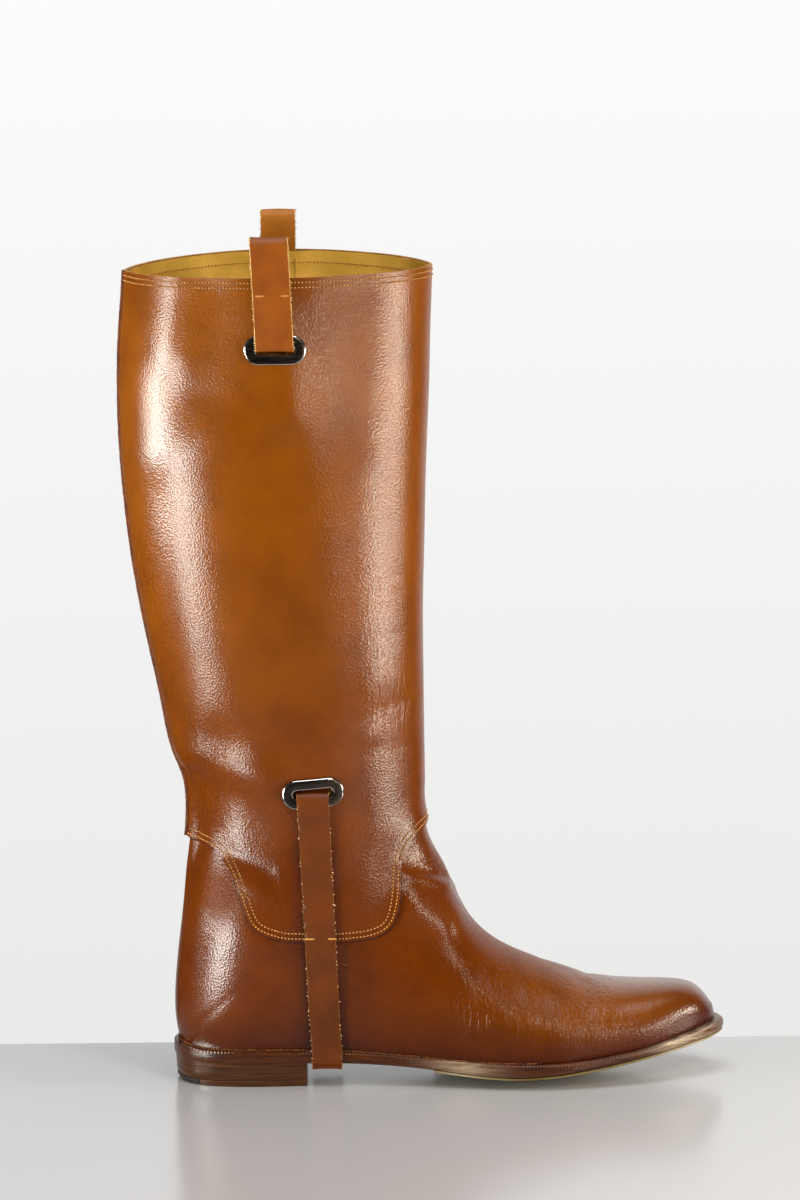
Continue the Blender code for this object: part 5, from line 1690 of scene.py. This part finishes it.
def strap_shadow_share(x, z):
    """Painted shadow of the stirrup strap on the leather: 1 at the strap's edges, falling off to 0 away from
    them.
    """
    eyelet = LOWER_EYELETS[OUTER]
    middle = eyelet.x + (eyelet.z - z) / eyelet.z * (STIRRUP_LOW_X - eyelet.x)
    behind = np.maximum(middle - STIRRUP_TOP_WIDTH / 2.0 - x, 0.0)
    before = np.maximum(x - middle - STIRRUP_TOP_WIDTH / 2.0, 0.0)
    below_plate = 1.0 - smooth_step(eyelet.z - STRAP_SHADOW_BELOW[0], eyelet.z - STRAP_SHADOW_BELOW[1], z)
    return np.exp(-((behind / STRAP_SHADOW_REACH[0]) ** 2) - (before / STRAP_SHADOW_REACH[1]) ** 2) * below_plate


# Heights between which the foot ends and the leg's lighter colour comes in, and where the vamp has it too
FOOT_END = (60.0, 110.0)
LEG_COLOUR = (60.0, 330.0)
VAMP_LENGTH = (95.0, 180.0)
VAMP_RISE = (4.0, 22.0)
# Darkening: how it falls off above the sole and round the toe's tip, and its share at the sole, at the toe,
# where it is dark wax, and beside the strap, where it is painted shadow
SOLE_DARKENING_RISE = 8.0
TOE_BURNISH_X, TOE_BURNISH_HALF = 236.0, 16.0
SOLE_DARKENING, TOE_BURNISH, STRAP_SHADOW_SHARE = 0.75, 0.35, 0.5
# Shine of the wax, the stretch of the foot where bending has dulled it, and the least that is left
POLISH, DULLING, LEAST_POLISH = 0.6, 0.3, 0.05
DULLED_FROM, DULLED_TO = (40.0, 100.0), (150.0, 200.0)


def mark_leather(piece):
    """Marks where the leather takes the leg's lighter colour, is darkened (dark wax at the toe, painted
    shadow beside the strap), shines and bends.
    """
    x, _, z = points_of(piece).T
    above = np.maximum(z - seat_height(x), 0.0)
    on_foot = 1.0 - smooth_step(*FOOT_END, z)
    at_sole = np.exp(-above / SOLE_DARKENING_RISE) * on_foot
    at_toe = np.exp(-(((x - TOE_BURNISH_X) / TOE_BURNISH_HALF) ** 2)) * on_foot
    # The strap's term is painted shadow on the leather beside the stirrup strap
    darkening_and_painted_shadow = SOLE_DARKENING * at_sole + TOE_BURNISH * at_toe + STRAP_SHADOW_SHARE * strap_shadow_share(x, z)
    mark(piece, "darkening_and_painted_shadow", np.clip(darkening_and_painted_shadow, 0.0, 1.0))
    on_vamp = smooth_step(*VAMP_LENGTH, x) * smooth_step(*VAMP_RISE, above)
    mark(piece, "leg_share", np.maximum(smooth_step(*LEG_COLOUR, z), on_vamp))
    dulled = smooth_step(*DULLED_FROM, x) * (1.0 - smooth_step(*DULLED_TO, x)) * on_foot
    mark(piece, "polish", np.clip(POLISH - DULLING * dulled + spotted(POLISH_SPOTS, x, z), LEAST_POLISH, 1.0))
    mark(piece, "flex", np.clip(spotted(FLEX_SPOTS, x, z), 0.0, 1.0))


# Camera of the photograph: 10 degrees above the level, rolled a little, 6 m away, 2 pixels to a millimetre
CAMERA_TARGET = Vector((90.0, 0.0, 200.0)) * MM
CAMERA_DISTANCE = 6.0
CAMERA_REACH = 50.0
CAMERA_ELEVATION = math.radians(10.0)
CAMERA_ROLL = math.radians(0.6)
CAMERA_LENS = 360.0
# From the target to the middle of the frame, along the picture's right and up
FRAME_OFFSET = (-8.43 * MM, 40.75 * MM)


def add_camera():
    """The camera that sees the boot as the photograph does."""
    away = Vector((0.0, -math.cos(CAMERA_ELEVATION), math.sin(CAMERA_ELEVATION)))
    level_right = Vector((1.0, 0.0, 0.0))
    level_up = Vector((0.0, math.sin(CAMERA_ELEVATION), math.cos(CAMERA_ELEVATION)))
    right = math.cos(CAMERA_ROLL) * level_right - math.sin(CAMERA_ROLL) * level_up
    up = math.cos(CAMERA_ROLL) * level_up + math.sin(CAMERA_ROLL) * level_right
    lens = bpy.data.cameras.new("camera")
    lens.lens = CAMERA_LENS
    lens.clip_end = CAMERA_REACH
    camera = add_object("camera", lens)
    turn = Matrix((right, up, away)).transposed().to_4x4()
    place = CAMERA_TARGET + CAMERA_DISTANCE * away + FRAME_OFFSET[0] * right + FRAME_OFFSET[1] * up
    camera.matrix_world = Matrix.Translation(place) @ turn
    bpy.context.scene.camera = camera


# Table and wall, in metres
TABLE_BACK = 0.081
TABLE_FRONT = -0.75
TABLE_SIDES = (-0.2, 0.75)
TABLE_THICKNESS = 0.03
TABLE_BEVEL = 0.002
TABLE_BEVEL_STEPS = 3
WALL_DISTANCE = 0.9
WALL_SIDES = (-0.3, 1.1)
WALL_HEIGHTS = (-0.5, 1.1)
WALL_GLOW_HEIGHTS = (-0.15, 0.45)


def add_stage_object(name, builder, surface):
    """Makes a piece of the stage from what a builder holds."""
    mesh = bpy.data.meshes.new(name)
    builder.to_mesh(mesh)
    builder.free()
    mesh.materials.append(surface)
    made = add_object(name, mesh)


def add_table():
    """The table that the boot stands on, ending behind it: a board sprayed with satin lacquer, an even grey
    with a soft mirror of what stands on it."""
    made, tree, shader, place = new_material("satin_grey_table")
    haze = add(tree, "TexNoise", "Fac", {"Vector": place, "Scale": per(300.0), "Detail": 2.0})
    colours = {SHARE: haze, FIRST: linear("#B7B8BB"), SECOND: linear("#AFB0B3")}
    colour = add(tree, "Mix", MIXED, colours, data_type="RGBA")
    dress(tree, shader, {"Base Color": colour}, Roughness=0.19, IOR=1.5)
    builder = bmesh.new()
    bmesh.ops.create_cube(builder, size=1.0)
    size = (TABLE_SIDES[1] - TABLE_SIDES[0], TABLE_BACK - TABLE_FRONT, TABLE_THICKNESS)
    bmesh.ops.scale(builder, vec=size, verts=builder.verts)
    middle = (sum(TABLE_SIDES) / 2.0, (TABLE_BACK + TABLE_FRONT) / 2.0, -TABLE_THICKNESS / 2.0)
    bmesh.ops.translate(builder, vec=middle, verts=builder.verts)
    bmesh.ops.bevel(
        builder,
        geom=builder.edges[:],
        offset=TABLE_BEVEL,
        segments=TABLE_BEVEL_STEPS,
        affect="EDGES",
        profile=0.5,
    )
    add_stage_object("table", builder, made)


def add_wall():
    """The wall beyond the table: white paper drawn as its own glow, a little greyer towards its foot as
    painted shade. It is clear from behind, so that the boot can be looked at from every side."""
    made, tree, shader, place = new_material("white_wall")
    height = add(tree, "SeparateXYZ", "Z", {"Vector": place})
    low_glow, high_glow = WALL_GLOW_HEIGHTS
    rise = add(tree, "MapRange", "Result", {"Value": height, "From Min": low_glow, "From Max": high_glow})
    colours = {SHARE: rise, FIRST: linear("#E9E9E8"), SECOND: linear("#FBFBFB")}
    glow = add(tree, "Mix", MIXED, colours, data_type="RGBA")
    behind = add(tree, "NewGeometry", "Backfacing")
    front = add(tree, "Math", "Value", {0: 1.0, 1: behind}, operation="SUBTRACT")
    links = {"Emission Color": glow, "Alpha": front}
    dress(tree, shader, links, Base_Color=linear("#000000"), Roughness=1.0, Emission_Strength=1.0)
    builder = bmesh.new()
    (left, right), (low, high) = WALL_SIDES, WALL_HEIGHTS
    corners = ((left, low), (right, low), (right, high), (left, high))
    builder.faces.new([builder.verts.new((x, WALL_DISTANCE, z)) for x, z in corners])
    add_stage_object("wall", builder, made)


# Soft boxes: place, the point each faces, width, height, power, the colour of its cloth, and the spread in
# degrees that a grid on the box leaves it
SoftBox = namedtuple("SoftBox", "name place aim width height power colour spread")
CREAM, AMBER, WHITE = "#FFFDF4", "#FFF3DF", "#FFFFFF"
SOFT_BOXES = (
    SoftBox("left_high_soft_box", (-0.96, -0.22, 0.27), (0.0, 0.0, 0.34), 0.42, 0.32, 0.8, CREAM, 40.0),
    SoftBox("left_middle_soft_box", (-0.92, -0.38, 0.15), (0.0, 0.0, 0.3), 0.22, 0.1, 3.6, CREAM, 180.0),
    SoftBox("left_soft_box", (-0.78, -0.61, 0.04), (0.0, 0.0, 0.2), 0.24, 0.26, 8.8, CREAM, 180.0),
    SoftBox("left_low_soft_box", (-0.80, -0.56, -0.16), (0.0, 0.0, 0.1), 0.26, 0.14, 2.6, CREAM, 180.0),
    SoftBox("right_high_soft_box", (1.0, -0.18, 0.22), (0.03, 0.0, 0.3), 0.3, 0.22, 6.6, AMBER, 180.0),
    SoftBox("right_soft_box", (0.92, -0.46, 0.0), (0.03, 0.0, 0.25), 0.26, 0.28, 0.84, AMBER, 50.0),
    SoftBox("front_card", (0.62, -0.77, 0.21), (0.03, 0.0, 0.3), 0.18, 0.08, 1.6, AMBER, 180.0),
    SoftBox("front_high_soft_box", (0.6, -0.95, 0.75), (0.1, 0.0, 0.1), 0.3, 0.3, 5.6, AMBER, 180.0),
    SoftBox("top_soft_box", (0.1, -0.3, 1.7), (0.1, 0.0, 0.2), 1.4, 1.2, 23.5, WHITE, 180.0),
)
ROOM_COLOUR = "#F2F2F4"
ROOM_LIGHT = 0.06


def add_lights():
    """The soft boxes and the dim room around them."""
    for box in SOFT_BOXES:
        light = bpy.data.lights.new(box.name, "AREA")
        light.shape = "RECTANGLE"
        light.size, light.size_y = box.width, box.height
        light.energy = box.power
        light.color = linear(box.colour)[:3]
        light.spread = math.radians(box.spread)
        made = add_object(box.name, light)
        made.location = box.place
        made.rotation_euler = (Vector(box.aim) - Vector(box.place)).to_track_quat("-Z", "Y").to_euler()
    room = bpy.data.worlds.new("studio_room")
    room.use_nodes = True
    background = room.node_tree.nodes["Background"]
    background.inputs["Color"].default_value = linear(ROOM_COLOUR)
    background.inputs["Strength"].default_value = ROOM_LIGHT
    bpy.context.scene.world = room
    bpy.context.scene.view_settings.view_transform = "Standard"


def build_boot():
    """Makes the materials, and every piece of the boot in its own."""
    calf = waxed_calf_leather()
    plain = {name: plain_leather(name, surface) for name, surface in PLAIN_SURFACES.items()}
    # The sole's edge, inked and burnished with hot wax: nearly black brown with a low gloss
    sole_leather = layered_leather("burnished_sole_edge", "#4E2404", "#2C1002", 1.6, 0.3, notched=True)
    # A thin half sole whose edge is only sanded: pale, dull and streaked
    half_sole = layered_leather("pale_half_sole", "#786838", "#54461F", 0.8, 0.6)
    # Lifts stacked, sanded and inked as one heel: dark bands along the layers under thin wax
    lifts = layered_leather("stacked_heel_leather", "#4E2A08", "#2E1502", 0.9, 0.38)
    # Steel plates darkened in a bath: near black and still smooth enough to mirror
    gunmetal = worn_metal("gunmetal_plate", "#4C453F", "#312C28", 0.26)
    # Their rims, where the strap has rubbed through to the nickel: thin bright lines
    bright_rim = worn_metal("rubbed_nickel_rim", "#DAD8D4", "#A8A5A0", 0.12)

    build_shaft(calf, plain["calf_cut_edge"], plain["calf_flesh_side"])
    build_upper(calf, plain["calf_cut_edge"], plain["calf_flesh_side"])
    build_lining(plain["mustard_lining_leather"], plain["calf_cut_edge"])
    build_back_seam(plain["dark_seam_edge"])
    build_stitching(plain["waxed_linen_thread"], plain["needle_hole"])
    build_lining_seam(plain["mustard_lining_leather"])
    build_hem_shade_line(plain["needle_hole"])
    build_raw_edge(plain["raw_edge_and_painted_shade"])
    build_straps(plain)
    for side, word in SIDE_WORDS.items():
        build_eyelet(f"upper_eyelet_{word}", UPPER_EYELETS[side], side, gunmetal, bright_rim)
        build_eyelet(f"lower_eyelet_{word}", LOWER_EYELETS[side], side, gunmetal, bright_rim)
    build_soles(sole_leather, half_sole, lifts, plain["heel_rubber"])
    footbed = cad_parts["insole"]
    footbed.data.materials.clear()
    footbed.data.materials.append(plain["insole_leather"])


add_camera()
add_table()
add_wall()
add_lights()
build_boot()
